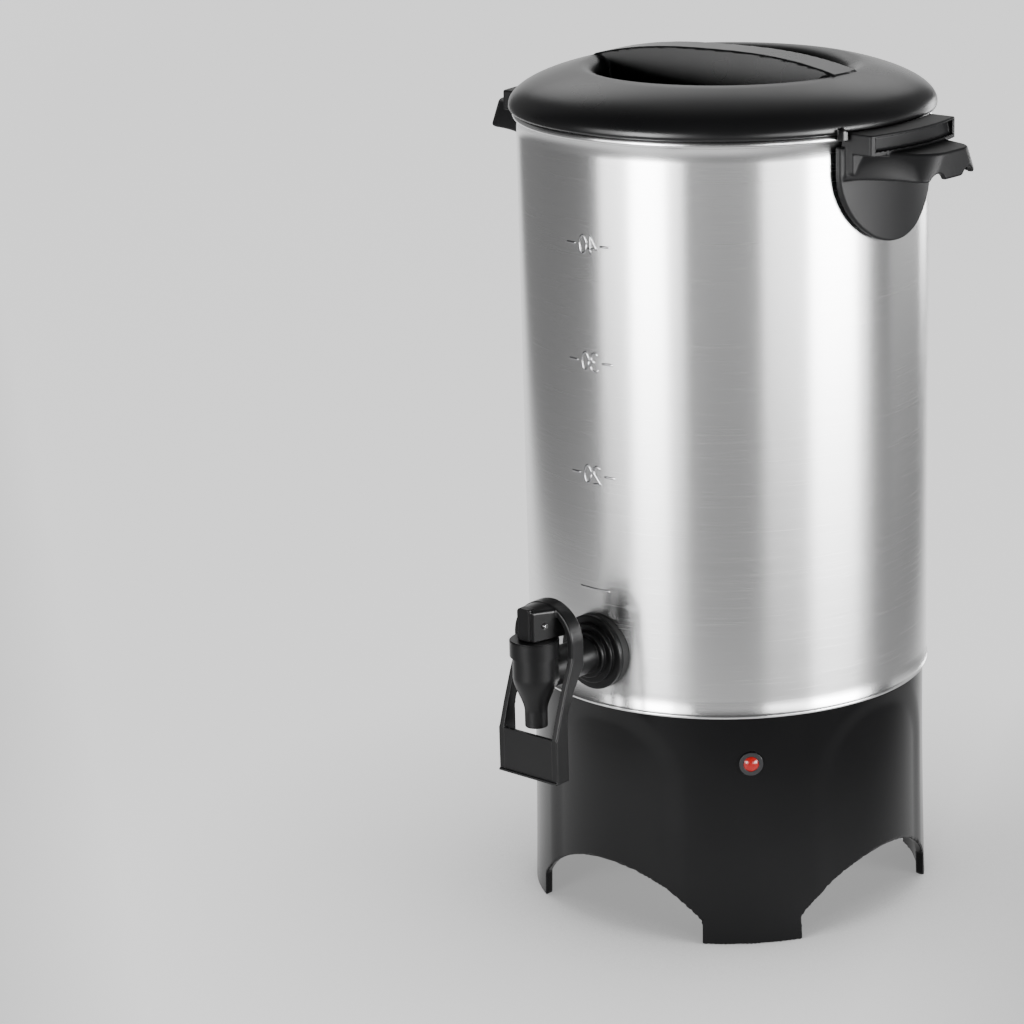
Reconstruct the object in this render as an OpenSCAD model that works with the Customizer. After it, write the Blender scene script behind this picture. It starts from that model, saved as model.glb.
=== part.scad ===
// Percolating coffee urn: a steel tank on a black moulded base with four feet, a lever tap in front,
// two side handles, a domed lid with finger wells, and the pump tube and basket inside.
// Origin: on the table, on the axis of the tank. +Z up, the tap points to -Y, the handles lie on X.

/* [Tank] */
// Outside diameter of the steel tank
tank_d = 190; // [170:1:220]
// Height of the steel side
tank_h = 265; // [250:1:300]
// Thickness of the steel
tank_wall = 0.8; // [0.6:0.1:1.2]
// Radius of the rolled rim at the top
rim_bead_r = 1.6; // [1.3:0.1:1.9]
// Radius of the rolled lower edge
edge_bead_r = 0.9; // [0.7:0.1:1.2]
// Height of the tank's floor above the lower edge of the steel
floor_rise = 8; // [7:0.5:10]
// Diameter of the heating well in the floor
well_d = 56; // [50:1:64]
// Depth of the heating well
well_depth = 9; // [7:0.5:11]

/* [Base] */
// Height of the base, from the table to the steel
base_h = 111; // [105:1:125]
// How far the top of the base steps in under the steel
base_inset = 1.7; // [1.3:0.1:2.5]
// How much further out the feet stand than the top of the base
foot_flare = 1.7; // [0:0.1:3]
// Thickness of the moulded wall
base_wall = 3; // [2.4:0.1:3.6]
// How far the legs stand proud of the panels between them
leg_relief = 1; // [0.6:0.1:1.8]
// Half the width of a leg's raised face, in degrees
leg_half_angle = 22; // [20:0.5:24]
// Half the width of a foot, in degrees
foot_half_angle = 14.75; // [13:0.25:16.5]
// Height of the arches between the feet
arch_h = 34; // [28:1:36]
// Radius of the arches
arch_r = 62; // [58:1:72]
// Band of plain wall between the steel and the top of a panel
panel_gap = 3; // [2:0.5:8]
// Radius of a panel's top corners
panel_corner_r = 33; // [20:1:36]
// Height of the bottom cover above the table
cover_z = 38; // [37:0.5:42]
// Thickness of the bottom cover
cover_t = 2.4; // [2:0.1:3]
// How far the indicator light is below the base's top
light_drop = 22.3; // [19:0.1:36]
// Diameter of the light's bezel
light_d = 11; // [10:0.5:14]
// Height of the power inlet above the table
inlet_z = 66; // [60:1:72]

/* [Handles] */
// Height of a handle's lower edge above the table, below the top of the steel
shield_drop = 50.7; // [48:0.5:54]
// Half the width of the shield plate against the steel
shield_half_w = 34.7; // [33:0.5:38]
// How far the shield plate stands off the steel
shield_t = 4.5; // [4:0.25:5.5]
// Half the width of the block that guards the lid's edge
guard_half_w = 31.7; // [29:0.5:32]
// Outer radius of the guard, measured from the tank's side
guard_out = 17.5; // [15:0.5:20]
// How far the grip reaches out from the tank's side
grip_out = 35; // [33:0.5:40]
// Half the width of the grip at its outer end
grip_half_w = 22.5; // [20:0.5:24]
// How far each side of the grip leans in towards its top
grip_draft = 5.5; // [3:0.5:7]
// Thickness of the grip, top to bottom
grip_t = 12; // [10.5:0.1:13]
// Wall of the grip round its hollow underside
grip_wall = 3; // [2.5:0.1:3.5]

/* [Lid] */
// Height of the lid's dome above its widest edge
lid_rise = 23.4; // [20:0.2:27]
// How far the lid's edge overhangs the steel
lid_overhang = 3.5; // [3:0.1:4.5]
// Thickness of the lid
lid_wall = 2.4; // [2:0.1:3]
// Radius of the circle that bounds the two finger wells
well_ring_r = 66.5; // [62:0.5:69]
// Width of the rounded slope inside that circle
well_slope_w = 9.5; // [6:0.5:11]
// Half the width of the grip bar between the wells
bar_half_w = 8.5; // [7:0.5:12]
// Height of the bar's crest above the dome
bar_rise = 1.4; // [0.8:0.1:3]
// How far the lid's bar is turned from the line between the handles
bar_turn = 5.5; // [0:0.5:8]
// Depth of the finger wells below the top of the dome
finger_depth = 19.8; // [17:0.1:21]
// Depth of the skirt that centres the lid in the tank
skirt_depth = 8; // [6:0.5:8]

/* [Tap] */
// Height of the tap's shank above the base's top
tap_rise = 27; // [26:0.5:33]
// Distance from the steel to the axis of the spout
spout_out = 43; // [40:0.5:50]
// Diameter of the shank
shank_d = 17; // [15:0.5:19]
// Diameter of the flange against the tank
flange_d = 35; // [32:0.5:38]
// Diameter of the spout's upper body
spout_d = 20; // [19:0.5:22]
// Diameter of the nozzle
nozzle_d = 10.3; // [9.5:0.1:12]
// Length of the spout below the shank's axis
spout_drop = 24.5; // [22:0.5:26]
// Diameter of the bonnet
bonnet_d = 22.5; // [22:0.1:24]
// Height of the bonnet
bonnet_h = 8.3; // [8:0.1:9.5]
// Diameter of the valve stem
stem_d = 5; // [4.4:0.1:5.2]
// Diameter of the lever's pin
pin_d = 2.2; // [1.8:0.1:2.6]
// Outside width of the lever
lever_w = 35; // [33:0.5:38]
// Thickness of the lever's arms and plate
lever_t = 3; // [2.4:0.1:3.4]
// Height of the lever's front plate
paddle_h = 20.9; // [16:0.5:24]
// Tilt of the lever at the end of its travel, in degrees
lever_tilt = 17; // [14:0.5:17]
// Wire diameter of the valve spring
spring_wire_d = 0.9; // [0.7:0.1:1]
// Mean diameter of the valve spring
spring_d = 9.2; // [8.6:0.1:10]
// Number of curls in the valve spring
spring_curls = 3; // [2:1:4]

/* [Brewing parts] */
// Outside diameter of the pump tube
pump_tube_d = 12.7; // [11:0.1:14]
// Wall of the pump tube
pump_wall = 0.8; // [0.6:0.1:1]
// Diameter of the pump's foot in the heating well
pump_foot_d = 48; // [40:1:49]
// Outside diameter of the basket
basket_d = 140; // [120:1:150]
// Height of the basket
basket_h = 38; // [32:0.5:40]
// Thickness of the basket's sheet
basket_wall = 0.8; // [0.6:0.1:1.2]
// Diameter of the holes in the basket and its cover
sieve_hole_d = 3; // [2:0.1:3.6]
// Room between the top of the pump tube and the lid
tube_headroom = 5; // [3:0.5:8]

/* [Clearances] */
// Between fixed pieces that meet on curved faces
fit_gap = 0.15; // [0.1:0.05:0.25]
// Round a pin that turns in its hole
pin_gap = 0.05; // [0.03:0.01:0.08]
// Between pieces that move past each other
move_gap = 0.4; // [0.3:0.05:0.6]
// Under a piece that lifts off its seat
seat_gap = 0.3; // [0.25:0.05:0.4]

/* [Hidden] */
$fn = 96;
ALONG = 0.01; // cutters run this much past the faces that they open
BLACK = "#1a1a1c";
STEEL = "#c9cacc";
SPRING_STEEL = "#9a9da1";
ALUMINIUM = "#b4b7ba";
SILICONE = "#a43c2e";

tank_r = tank_d / 2;
tank_in_r = tank_r - tank_wall;
tank_top = base_h + tank_h;
tap_z = base_h + tap_rise;
light_z = base_h - light_drop;
floor_z = base_h + floor_rise;
floor_under = floor_z - tank_wall;
well_r = well_d / 2;
pit_z = floor_z - well_depth;
pit_under = pit_z - tank_wall;
rim_out_r = tank_r + 0.2 + rim_bead_r;

base_top_r = tank_r - base_inset;
base_steps = 8;
leg_angles = [45, 135, 225, 315];
ledge_r = tank_r - 17; // inner edge of the ledge under the tank's floor
ledge_t = 3.2;
boss_r = 4.5;
boss_h = 18;
boss_ring_r = base_skin_r(cover_z) - leg_relief - base_wall - 3.9;
cover_r = base_skin_r(cover_z + cover_t) - leg_relief - base_wall - 2 * fit_gap;
screw_r = 1.3;
stud_r = 2;
stud_ring_r = tank_r - 11;
stud_angles = [0, 120, 240];
light_angle = 45;
light_face_r = base_skin_r(light_z);
light_barrel_r = light_d / 2 - 1.1;
lens_r = light_barrel_r - 0.9;

inlet_w = 40;
inlet_t = 24;
inlet_wall = 3;
inlet_depth = 25;
inlet_face_y = base_skin_r(inlet_z) - leg_relief + 1.6;
inlet_pin_d = 4.76;
inlet_pin_gap = 17.46;
inlet_pin_len = 17;
inlet_pin_root_r = inlet_pin_d / 2 - 0.2;

plate_out_r = 50;
plate_t = 3.3;
plate_under = floor_under - plate_t;
element_r = 3.3;
element_ring_r = 39.5;
element_gap_angle = 60;
element_z = plate_under - element_r - fit_gap / 2;
terminal_drop = 16;
thermostat_r = 8.5;
thermostat_h = 10;
strap_t = 1.6;
strap_x = 19;

block_top = tank_top + 1.4;
grip_top = tank_top - 7;
grip_under = grip_top - grip_t;
block_under = tank_top - 17;
block_r = tank_r + 8; // the block's deep part; further out it ends above the grip
shield_top = tank_top - 5;
shield_z = tank_top - shield_drop + shield_half_w; // centre of the shield's round lower end
guard_r = tank_r + guard_out;
grip_r = tank_r + grip_out;
grip_root_x = tank_r + 2;
grip_root_w = guard_half_w + 0.3;
grip_tip_x = grip_r - 5;
handle_screw_y = 17;
handle_screw_z = tank_top - 14;
handle_screw_len = 16;

lid_r = tank_r + lid_overhang;
lid_seat_z = tank_top + seat_gap;
lid_edge_z = lid_seat_z + 2.2;
lid_top = lid_edge_z + lid_rise;
well_floor_z = lid_top - finger_depth;
well_ring_z = dome_z(well_ring_r);
bar_crest_z = lid_top + bar_rise;
bar_crest_r = (pow(well_ring_r, 2) + pow(bar_crest_z - well_ring_z, 2)) / (2 * (bar_crest_z - well_ring_z));
lid_under_z = well_floor_z - lid_wall;
skirt_out_r = tank_in_r - 2 * move_gap;
lug_angles = [-109.8, 70.2];

spout_y = -(tank_r + spout_out);
shank_r = shank_d / 2;
spout_r = spout_d / 2;
nozzle_r = nozzle_d / 2;
nozzle_tip_z = tap_z - spout_drop;
taper_z = nozzle_tip_z + 8.5;
shoulder_z = tap_z + 8.7;
bonnet_top = shoulder_z + bonnet_h;
bonnet_plate_t = 2.4;
neck_r = spout_r - 0.6;
neck_top = bonnet_top - bonnet_plate_t - 0.6;
valve_bore_r = nozzle_r - 1.5;
chamber_r = neck_r - 3;
seat_z = tap_z - 7;
seat_h = 6;
flange_o = tank_r + 2.5; // the flange's back, measured from the tank's axis
flange_t = 2.5;
gasket_r = flange_d / 2;
nut_o = tank_in_r - 9.7;
nut_t = 6;

stem_r = stem_d / 2;
stem_collar_z = tap_z + 6;
stem_collar_t = 1.2;
pin_r = pin_d / 2;
pin_z = bonnet_top + 7;
heel_out = 6.8; // from the pin to the front edge of the nose that presses on the bonnet
lift_per_rad = 6.4; // the stem's lift in mm for each radian of tilt
lever_top = pin_z + 8.5;
arch_out_r = lever_w / 2;
arch_z = lever_top - arch_out_r;
arm_back = -13.6; // the arms' back edge, measured outward from the spout's axis
arm_band = 7.7;
paddle_out = 6.2;
paddle_top = nozzle_tip_z - 2.3;
paddle_bottom = paddle_top - paddle_h;

tube_r = pump_tube_d / 2;
foot_r = pump_foot_d / 2;
tube_top = lid_under_z - tube_headroom;
cover_seat_z = tube_top - 5.5;
basket_r = basket_d / 2;
basket_z = cover_seat_z - seat_gap - basket_h;
basket_bead_r = 1;
sleeve_in_r = tube_r + move_gap;
shoulder_r = tube_r + 3;
sieve_rings = [[22, 12], [38, 18], [54, 24]]; // radius and number of holes

spring_low = stem_collar_z + stem_collar_t + spring_wire_d / 2 + 0.05;
spring_high = bonnet_top - bonnet_plate_t - seat_gap - spring_wire_d / 2;
spring_rings = 8 * spring_curls;
spring_sides = 6;

// ---------- helpers ----------

// Outer radius of a leg's face at height z: the base widens towards the feet on a gentle curve
function base_skin_r(z) = base_top_r + foot_flare * pow((base_h - z) / base_h, 2);

// Points on an arc, in the XY plane
function arc(x, y, r, a0, a1, n) = [for (i = [0:n]) let (a = a0 + (a1 - a0) * i / n)
    [x + r * cos(a), y + r * sin(a)]];

function smooth_step(t) = t * t * (3 - 2 * t);

module ring(r_out, r_in, h) {
    difference() {
        cylinder(r = r_out, h = h);
        translate([0, 0, -ALONG]) cylinder(r = r_in, h = h + 2 * ALONG);
    }
}

module tube_z(r_out, r_in, z0, z1) {
    translate([0, 0, z0]) ring(r_out, r_in, z1 - z0);
}

module rod_z(r, z0, z1) {
    translate([0, 0, z0]) cylinder(r = r, h = z1 - z0);
}

// As rod_z, fine enough for thin pieces that follow the tank's wall
module fine_rod_z(r, z0, z1) {
    translate([0, 0, z0]) cylinder(r = r, h = z1 - z0, $fn = 480);
}

// Turns a child that faces -Y to the given direction, counted from the tap towards the right handle
module facing(a) {
    rotate([0, 0, a]) children();
}

// Local z runs outward along the tap's shank, from the tank's axis
module along_shank() {
    translate([0, 0, tap_z]) rotate([90, 0, 0]) children();
}

module at_spout() {
    translate([0, spout_y, 0]) children();
}

// A rod along X through a point
module rod_x(r, x0, x1, y, z) {
    translate([x0, y, z]) rotate([0, 90, 0]) cylinder(r = r, h = x1 - x0);
}

// A smooth curve through the points, with n steps from each to the next
function curve(p, n) = let (last = len(p) - 1, q = concat([2 * p[0] - p[1]], p, [2 * p[last] - p[last - 1]]))
    concat([for (i = [0:last - 1]) for (k = [0:n - 1]) let (t = k / n)
        0.5 * (2 * q[i + 1] + t * (q[i + 2] - q[i]) + t * t * (2 * q[i] - 5 * q[i + 1] + 4 * q[i + 2] - q[i + 3])
            + t * t * t * (q[i + 3] + 3 * q[i + 1] - q[i] - 3 * q[i + 2]))], [p[last]]);

function unit(v) = v / norm(v);

// One closed round tube along the line; no part of the line may run along side
module sweep(line, r, sides, side) {
    n = len(line);
    rings = [for (i = [0:n - 1])
        let (t = unit(line[min(i + 1, n - 1)] - line[max(i - 1, 0)]), u = unit(cross(side, t)), v = cross(t, u))
        for (j = [0:sides - 1]) let (b = 360 * j / sides) line[i] + r * (cos(b) * u + sin(b) * v)];
    last = (n - 1) * sides;
    walls = [for (i = [0:n - 2]) for (j = [0:sides - 1]) let (p = i * sides + j, q = i * sides + (j + 1) % sides)
        for (f = [[p, q + sides, q], [p, p + sides, q + sides]]) f];
    caps = concat([for (j = [1:sides - 2]) [0, j, j + 1]], [for (j = [1:sides - 2]) [last, last + j + 1, last + j]]);
    polyhedron(points = rings, faces = concat(walls, caps));
}

module wire(points, r) {
    sweep(curve(points, 5), r, 8, [0.9, 0.1, 0.05]);
}

// ---------- base ----------

// The solid inside the base's skin, set in by inset, between two heights
module base_form(inset, z0, z1) {
    skin = [for (i = [0:base_steps]) let (z = z0 + (z1 - z0) * i / base_steps) [base_skin_r(z) - inset, z]];
    rotate_extrude() polygon(concat([[0, z0]], skin, [[0, z1]]));
}

module arch_outline() {
    half_w = base_skin_r(0) * sin(45 - foot_half_angle);
    intersection() {
        translate([0, arch_h - arch_r]) circle(r = arch_r);
        translate([-half_w, -10]) square([2 * half_w, arch_h + 20]);
    }
}

module panel_outline() {
    half_w = base_top_r * sin(45 - leg_half_angle);
    top = base_h - panel_gap;
    c = min(panel_corner_r, half_w - 0.5);
    translate([-half_w, -1]) square([2 * half_w, top + 1 - c]);
    translate([-half_w + c, -1]) square([2 * (half_w - c), top + 1]);
    for (x = [-half_w + c, half_w - c]) translate([x, top - c]) circle(r = c);
}

// Takes the legs' relief off the wall between two legs, on the side that faces -Y
module panel_recess() {
    depth = tank_r + 20;
    difference() {
        rotate([90, 0, 0]) linear_extrude(height = depth) panel_outline();
        base_form(leg_relief, -2, base_h);
    }
}

module inlet_opening(gap) {
    translate([-inlet_w / 2 - gap, inlet_face_y - inlet_depth, inlet_z - inlet_t / 2 - gap])
        cube([inlet_w + 2 * gap, inlet_depth + 10, inlet_t + 2 * gap]);
}

module base_housing() {
    color(BLACK) difference() {
        union() {
            difference() {
                union() {
                    base_form(0, 0, base_h);
                    rod_z(base_top_r, base_h - ALONG, floor_under);
                }
                base_form(leg_relief + base_wall, -1, floor_under - ledge_t);
                rod_z(ledge_r, floor_under - ledge_t - 1, floor_under + 1);
            }
            for (a = leg_angles) facing(a) translate([0, -boss_ring_r, cover_z + cover_t])
                cylinder(r = boss_r, h = boss_h);
        }
        for (a = [0, 90]) rotate([90, 0, a]) translate([0, 0, -tank_r - 20])
            linear_extrude(height = 2 * tank_r + 40) arch_outline();
        for (a = [0:90:270]) facing(a) panel_recess();
        for (a = leg_angles) facing(a) translate([0, -boss_ring_r, cover_z])
            cylinder(r = screw_r, h = cover_t + 13);
        for (a = stud_angles) facing(a) translate([0, -stud_ring_r, floor_under - ledge_t - 1])
            cylinder(r = stud_r + 0.3, h = ledge_t + 2);
        facing(light_angle) translate([0, 0, light_z]) rotate([90, 0, 0])
            cylinder(r = light_barrel_r + fit_gap, h = tank_r + 20);
        inlet_opening(fit_gap);
    }
}

module base_cover() {
    slots = 12;
    color(BLACK) difference() {
        union() {
            rod_z(cover_r, cover_z, cover_z + cover_t);
            tube_z(24, 21.6, cover_z + cover_t - ALONG, cover_z + cover_t + 3);
        }
        for (a = leg_angles) facing(a) translate([0, -boss_ring_r, cover_z - 1])
            cylinder(r = screw_r + 0.4, h = cover_t + 2);
        for (i = [0:slots - 1]) rotate([0, 0, (i + 0.5) * 360 / slots]) translate([36, -1.5, cover_z - 1])
            cube([26, 3, cover_t + 2]);
    }
}

module cover_screws() {
    color(SPRING_STEEL) for (a = leg_angles) facing(a) translate([0, -boss_ring_r, 0]) {
        difference() {
            rod_z(3.4, cover_z - 2, cover_z);
            translate([-2.6, -0.4, cover_z - 2 - ALONG]) cube([5.2, 0.8, 0.9]);
            translate([-0.4, -2.6, cover_z - 2 - ALONG]) cube([0.8, 5.2, 0.9]);
        }
        rod_z(screw_r - 0.05, cover_z - ALONG, cover_z + cover_t + 12);
    }
}

// ---------- indicator light ----------

module light_bezel() {
    color(BLACK) facing(light_angle) translate([0, 0, light_z]) rotate([90, 0, 0]) difference() {
        union() {
            translate([0, 0, light_face_r - 12]) cylinder(r = light_barrel_r, h = 12.5);
            translate([0, 0, light_face_r + 0.05]) cylinder(r = light_d / 2, h = 0.9);
        }
        translate([0, 0, light_face_r - 13]) cylinder(r = lens_r + fit_gap, h = 16);
    }
}

module indicator_lens() {
    dome_r = lens_r * 1.35;
    rise = dome_r - sqrt(dome_r * dome_r - lens_r * lens_r);
    face = light_face_r + 0.9;
    color("#8c0f10") facing(light_angle) translate([0, 0, light_z]) rotate([90, 0, 0]) {
        translate([0, 0, face - 5]) ring(lens_r, lens_r - 1, 5);
        intersection() {
            translate([0, 0, face - 1.2]) cylinder(r = lens_r, h = 1.2 + rise);
            translate([0, 0, face + rise - dome_r]) sphere(r = dome_r);
        }
    }
}

module indicator_lamp() {
    tip = light_face_r - 4.8;
    color("#d9b9a0") facing(light_angle) translate([0, 0, light_z]) rotate([90, 0, 0]) {
        translate([0, 0, tip - 9]) cylinder(r = lens_r - 1.2, h = 9);
        translate([0, 0, tip]) intersection() {
            sphere(r = lens_r - 1.2);
            cylinder(r = lens_r, h = 1.9);
        }
        for (x = [-1, 1]) translate([x, 0, tip - 14]) cylinder(r = 0.4, h = 5 + ALONG, $fn = 24);
    }
}

// ---------- power inlet, at the back ----------

module inlet_housing() {
    lip = 4;
    color(BLACK) difference() {
        union() {
            inlet_opening(0);
            translate([-inlet_w / 2 - lip, inlet_face_y - 8, inlet_z - inlet_t / 2 - lip])
                cube([inlet_w + 2 * lip, 8, inlet_t + 2 * lip]);
        }
        translate([0, inlet_face_y + 20, inlet_z]) cube([100, 40, 60], center = true);
        difference() {
            base_form(leg_relief - fit_gap, inlet_z - 30, inlet_z + 30);
            inlet_opening(0);
        }
        translate([-inlet_w / 2 + inlet_wall, inlet_face_y - inlet_depth + inlet_wall,
            inlet_z - inlet_t / 2 + inlet_wall])
                cube([inlet_w - 2 * inlet_wall, inlet_depth, inlet_t - 2 * inlet_wall]);
        for (x = [-1, 1]) translate([x * inlet_pin_gap / 2, inlet_face_y - inlet_depth - 1, inlet_z])
            rotate([-90, 0, 0]) cylinder(r = inlet_pin_root_r + 0.03, h = inlet_wall + 2);
    }
}

module inlet_pins() {
    back = inlet_face_y - inlet_depth;
    free = back + inlet_wall + 0.3;
    r = inlet_pin_d / 2;
    color("#b9a36a") for (x = [-1, 1]) translate([x * inlet_pin_gap / 2, 0, inlet_z]) {
        translate([0, back - 1, 0]) rotate([-90, 0, 0]) cylinder(r = inlet_pin_root_r, h = inlet_wall + 2);
        translate([0, free, 0]) rotate([-90, 0, 0]) cylinder(r = r, h = inlet_pin_len);
        translate([0, free + inlet_pin_len - ALONG, 0]) rotate([-90, 0, 0]) cylinder(r1 = r, r2 = r - 0.8, h = 0.8);
        translate([-2.4, back - 9, -0.4]) cube([4.8, 8 + ALONG, 0.8]);
    }
}

// ---------- tank and heater ----------

module tank_profile() {
    translate([tank_in_r, base_h + edge_bead_r]) square([tank_wall, tank_h - edge_bead_r - rim_bead_r]);
    translate([tank_r + 0.2, tank_top - rim_bead_r]) circle(r = rim_bead_r);
    translate([tank_in_r + edge_bead_r, base_h + edge_bead_r]) circle(r = edge_bead_r);
    translate([well_r, floor_under]) square([tank_in_r - well_r + tank_wall / 2, tank_wall]);
    translate([well_r, pit_under]) square([tank_wall, well_depth + tank_wall]);
    translate([0, pit_under]) square([well_r + tank_wall, tank_wall]);
}

module tank() {
    color(STEEL) difference() {
        rotate_extrude() tank_profile();
        along_shank() translate([0, 0, tank_r - 12]) cylinder(r = shank_r + 0.25, h = 24);
        for (y = [-1, 1]) rod_x(stud_r + 0.25, -tank_r - 10, tank_r + 10, y * handle_screw_y, handle_screw_z);
    }
}

module tank_studs() {
    color(SPRING_STEEL) for (a = stud_angles) facing(a) translate([0, -stud_ring_r, 0])
        rod_z(stud_r, floor_under - ledge_t - 9, floor_under);
}

module hex_nut(across, bore_r, z0, z1) {
    difference() {
        translate([0, 0, z0]) cylinder(d = across / cos(30), h = z1 - z0, $fn = 6);
        translate([0, 0, z0 - 1]) cylinder(r = bore_r, h = z1 - z0 + 2);
    }
}

module tank_nuts() {
    top = floor_under - ledge_t;
    color(SPRING_STEEL) for (a = stud_angles) facing(a) translate([0, -stud_ring_r, 0]) {
        tube_z(4.5, stud_r + 0.2, top - 0.8, top);
        hex_nut(7, stud_r + pin_gap, top - 4, top - 0.8);
    }
}

module heat_plate() {
    color(ALUMINIUM) tube_z(plate_out_r, well_r + tank_wall + 2 * fit_gap, plate_under, floor_under);
}

module heating_element() {
    half = element_gap_angle / 2;
    color("#5d5f61") {
        translate([0, 0, element_z]) rotate([0, 0, 90 + half]) rotate_extrude(angle = 360 - element_gap_angle)
            translate([element_ring_r, 0]) circle(r = element_r, $fn = 48);
        for (a = [90 - half - 5, 90 + half + 5]) rotate([0, 0, a]) translate([element_ring_r, 0, 0]) {
            rod_z(element_r - 0.6, element_z - terminal_drop + 6, element_z);
            rod_z(1.4, element_z - terminal_drop, element_z - terminal_drop + 6 + ALONG);
        }
    }
}

module thermostat() {
    color("#c8c2b4") {
        rod_z(thermostat_r + 2, pit_under - 1.5, pit_under);
        rod_z(thermostat_r, pit_under - thermostat_h, pit_under - 1.5 + ALONG);
        for (y = [-1, 1]) translate([-2.4, y * 5.6 - 0.4, pit_under - thermostat_h - 7.5]) cube([4.8, 0.8, 7.6]);
    }
}

module thermostat_strap() {
    top = pit_under - thermostat_h;
    color(ALUMINIUM) difference() {
        translate([-strap_x - 6, -7.5, top - strap_t]) cube([2 * strap_x + 12, 15, strap_t]);
        for (x = [-strap_x, strap_x]) translate([x, 0, top - strap_t - 1])
            cylinder(r = stud_r + 0.2, h = strap_t + 2);
        for (y = [-1, 1]) translate([-3.4, y * 5.6 - 1.4, top - strap_t - 1]) cube([6.8, 2.8, strap_t + 2]);
    }
}

module strap_studs() {
    color(SPRING_STEEL) for (x = [-strap_x, strap_x]) translate([x, 0, 0])
        rod_z(stud_r, pit_under - thermostat_h - strap_t - 6, pit_under);
}

module strap_nuts() {
    top = pit_under - thermostat_h - strap_t;
    color(SPRING_STEEL) for (x = [-strap_x, strap_x]) translate([x, 0, 0])
        hex_nut(7, stud_r + pin_gap, top - 3.2, top);
}

module thermal_fuse() {
    z = plate_under - 2.5 - fit_gap / 2;
    y = -(well_r + 4.4);
    color("#d8d2c2") {
        rod_x(2.5, -6, 6, y, z);
        rod_x(0.6, -11, 11, y, z);
    }
}

// Leads from the inlet's blades to the element, the thermostat and the light
module wiring() {
    blade_y = inlet_face_y - inlet_depth - 9;
    blade_x = inlet_pin_gap / 2;
    half = element_gap_angle / 2;
    end_x = element_ring_r * sin(half + 5);
    end_y = element_ring_r * cos(half + 5);
    end_z = element_z - terminal_drop;
    tab_z = pit_under - thermostat_h - 7.5;
    lamp_o = light_face_r - 19;
    lamp_x = lamp_o * sin(light_angle);
    lamp_y = -lamp_o * cos(light_angle);
    color("#7d2f28") {
        wire([[blade_x, blade_y - 1.2, inlet_z], [blade_x + 4, blade_y - 8, inlet_z + 3],
            [end_x, end_y, end_z - 9], [end_x, end_y, end_z - 0.2]], 1.2);
        wire([[-end_x, end_y, end_z - 0.2], [-end_x, end_y, end_z - 9], [-4, 16, tab_z - 10],
            [0, 5.6, tab_z - 5], [0, 5.6, tab_z - 0.2]], 1.2);
        wire([[-blade_x, blade_y - 1.2, inlet_z], [-blade_x - 3, blade_y - 8, inlet_z],
            [-12, -4, tab_z - 14], [0, -5.6, tab_z - 6], [0, -5.6, tab_z - 0.2]], 1.2);
        wire([[lamp_x, lamp_y, light_z], [lamp_x - 5, lamp_y + 5, light_z - 4], [26, -14, tab_z - 12],
            [6, -8, tab_z - 12], [0, -5.6, tab_z - 6]], 0.9);
    }
}

// ---------- handles ----------

module shield_outline() {
    translate([0, shield_z]) circle(r = shield_half_w);
    translate([-shield_half_w, shield_z]) square([2 * shield_half_w, shield_top - shield_z]);
}

// The grip seen from above: it narrows on a hollow curve to a rounded end that follows the tank
module grip_plan(inset) {
    steps = 8;
    corner = 7 - inset;
    tip_w = grip_half_w - inset;
    span = grip_tip_x - grip_root_x;
    side = [for (i = [0:steps - 1]) let (x = grip_root_x + span * i / steps)
        [x, tip_w + (grip_root_w - grip_half_w) * pow((grip_tip_x - x) / span, 2)]];
    round_end = arc(grip_tip_x - 1.2, tip_w - corner, corner, 90, 18, 6);
    upper = concat(side, round_end);
    lower = [for (i = [len(upper) - 1:-1:0]) [upper[i][0], -upper[i][1]]];
    intersection() {
        polygon(concat([[tank_r - 6, upper[0][1]]], upper, [[grip_r, 0]], lower, [[tank_r - 6, -upper[0][1]]]));
        circle(r = grip_r - inset);
    }
}

// Cuts the grip's sides to planes that lean in towards the top
module grip_side_cuts(inset) {
    lean = atan2(grip_half_w - grip_root_w, grip_tip_x - grip_root_x);
    low = 0.5 - inset;
    slope = grip_draft / grip_t;
    for (m = [0, 1]) mirror([0, m, 0]) translate([grip_root_x, grip_root_w, grip_under]) rotate([0, 0, lean])
        rotate([90, 0, 90]) translate([0, 0, -20]) linear_extrude(height = 70)
            polygon([[low + 2 * slope, -2], [30, -2], [30, grip_t + 2], [low - grip_draft - 2 * slope, grip_t + 2]]);
}

module grip_form(inset) {
    below = inset > 0 ? 0.7 : 0;
    difference() {
        translate([0, 0, grip_under - below]) linear_extrude(height = grip_t + below - inset) grip_plan(inset);
        grip_side_cuts(inset);
    }
}

module handle() {
    color(BLACK) difference() {
        union() {
            intersection() {
                rod_z(tank_r + shield_t, shield_z - shield_half_w - 5, shield_top);
                rotate([90, 0, 90]) linear_extrude(height = tank_r + 20) shield_outline();
            }
            intersection() {
                union() {
                    rod_z(guard_r, grip_top - ALONG, block_top);
                    rod_z(block_r, block_under, block_top);
                }
                translate([tank_r - 20, -guard_half_w, block_under])
                    cube([60, 2 * guard_half_w, block_top - block_under]);
            }
            grip_form(0);
        }
        rod_z(tank_r + fit_gap, shield_z - shield_half_w - 10, tank_top - 2 * rim_bead_r - 1);
        rod_z(rim_out_r + 2 * fit_gap, tank_top - 2 * rim_bead_r - 1 - ALONG, tank_top + 0.5);
        rod_z(lid_r + 2 * move_gap, tank_top - rim_bead_r, block_top + 5);
        // hollow underside of the grip, open downward
        intersection() {
            grip_form(grip_wall);
            tube_z(grip_r + 5, guard_r - 4, grip_under - 4, grip_top);
        }
        // finger scallops across the outer lip
        for (a = [-5, 5]) rotate([0, 0, a]) rod_x(5.2, guard_r - 2, grip_r + 5, 0, grip_under - 2.4);
        for (y = [-1, 1]) rod_x(stud_r - 0.3 + 0.03, tank_r - 4, tank_r + handle_screw_len - 4, y * handle_screw_y,
            handle_screw_z);
    }
}

module right_handle() {
    handle();
}

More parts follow.
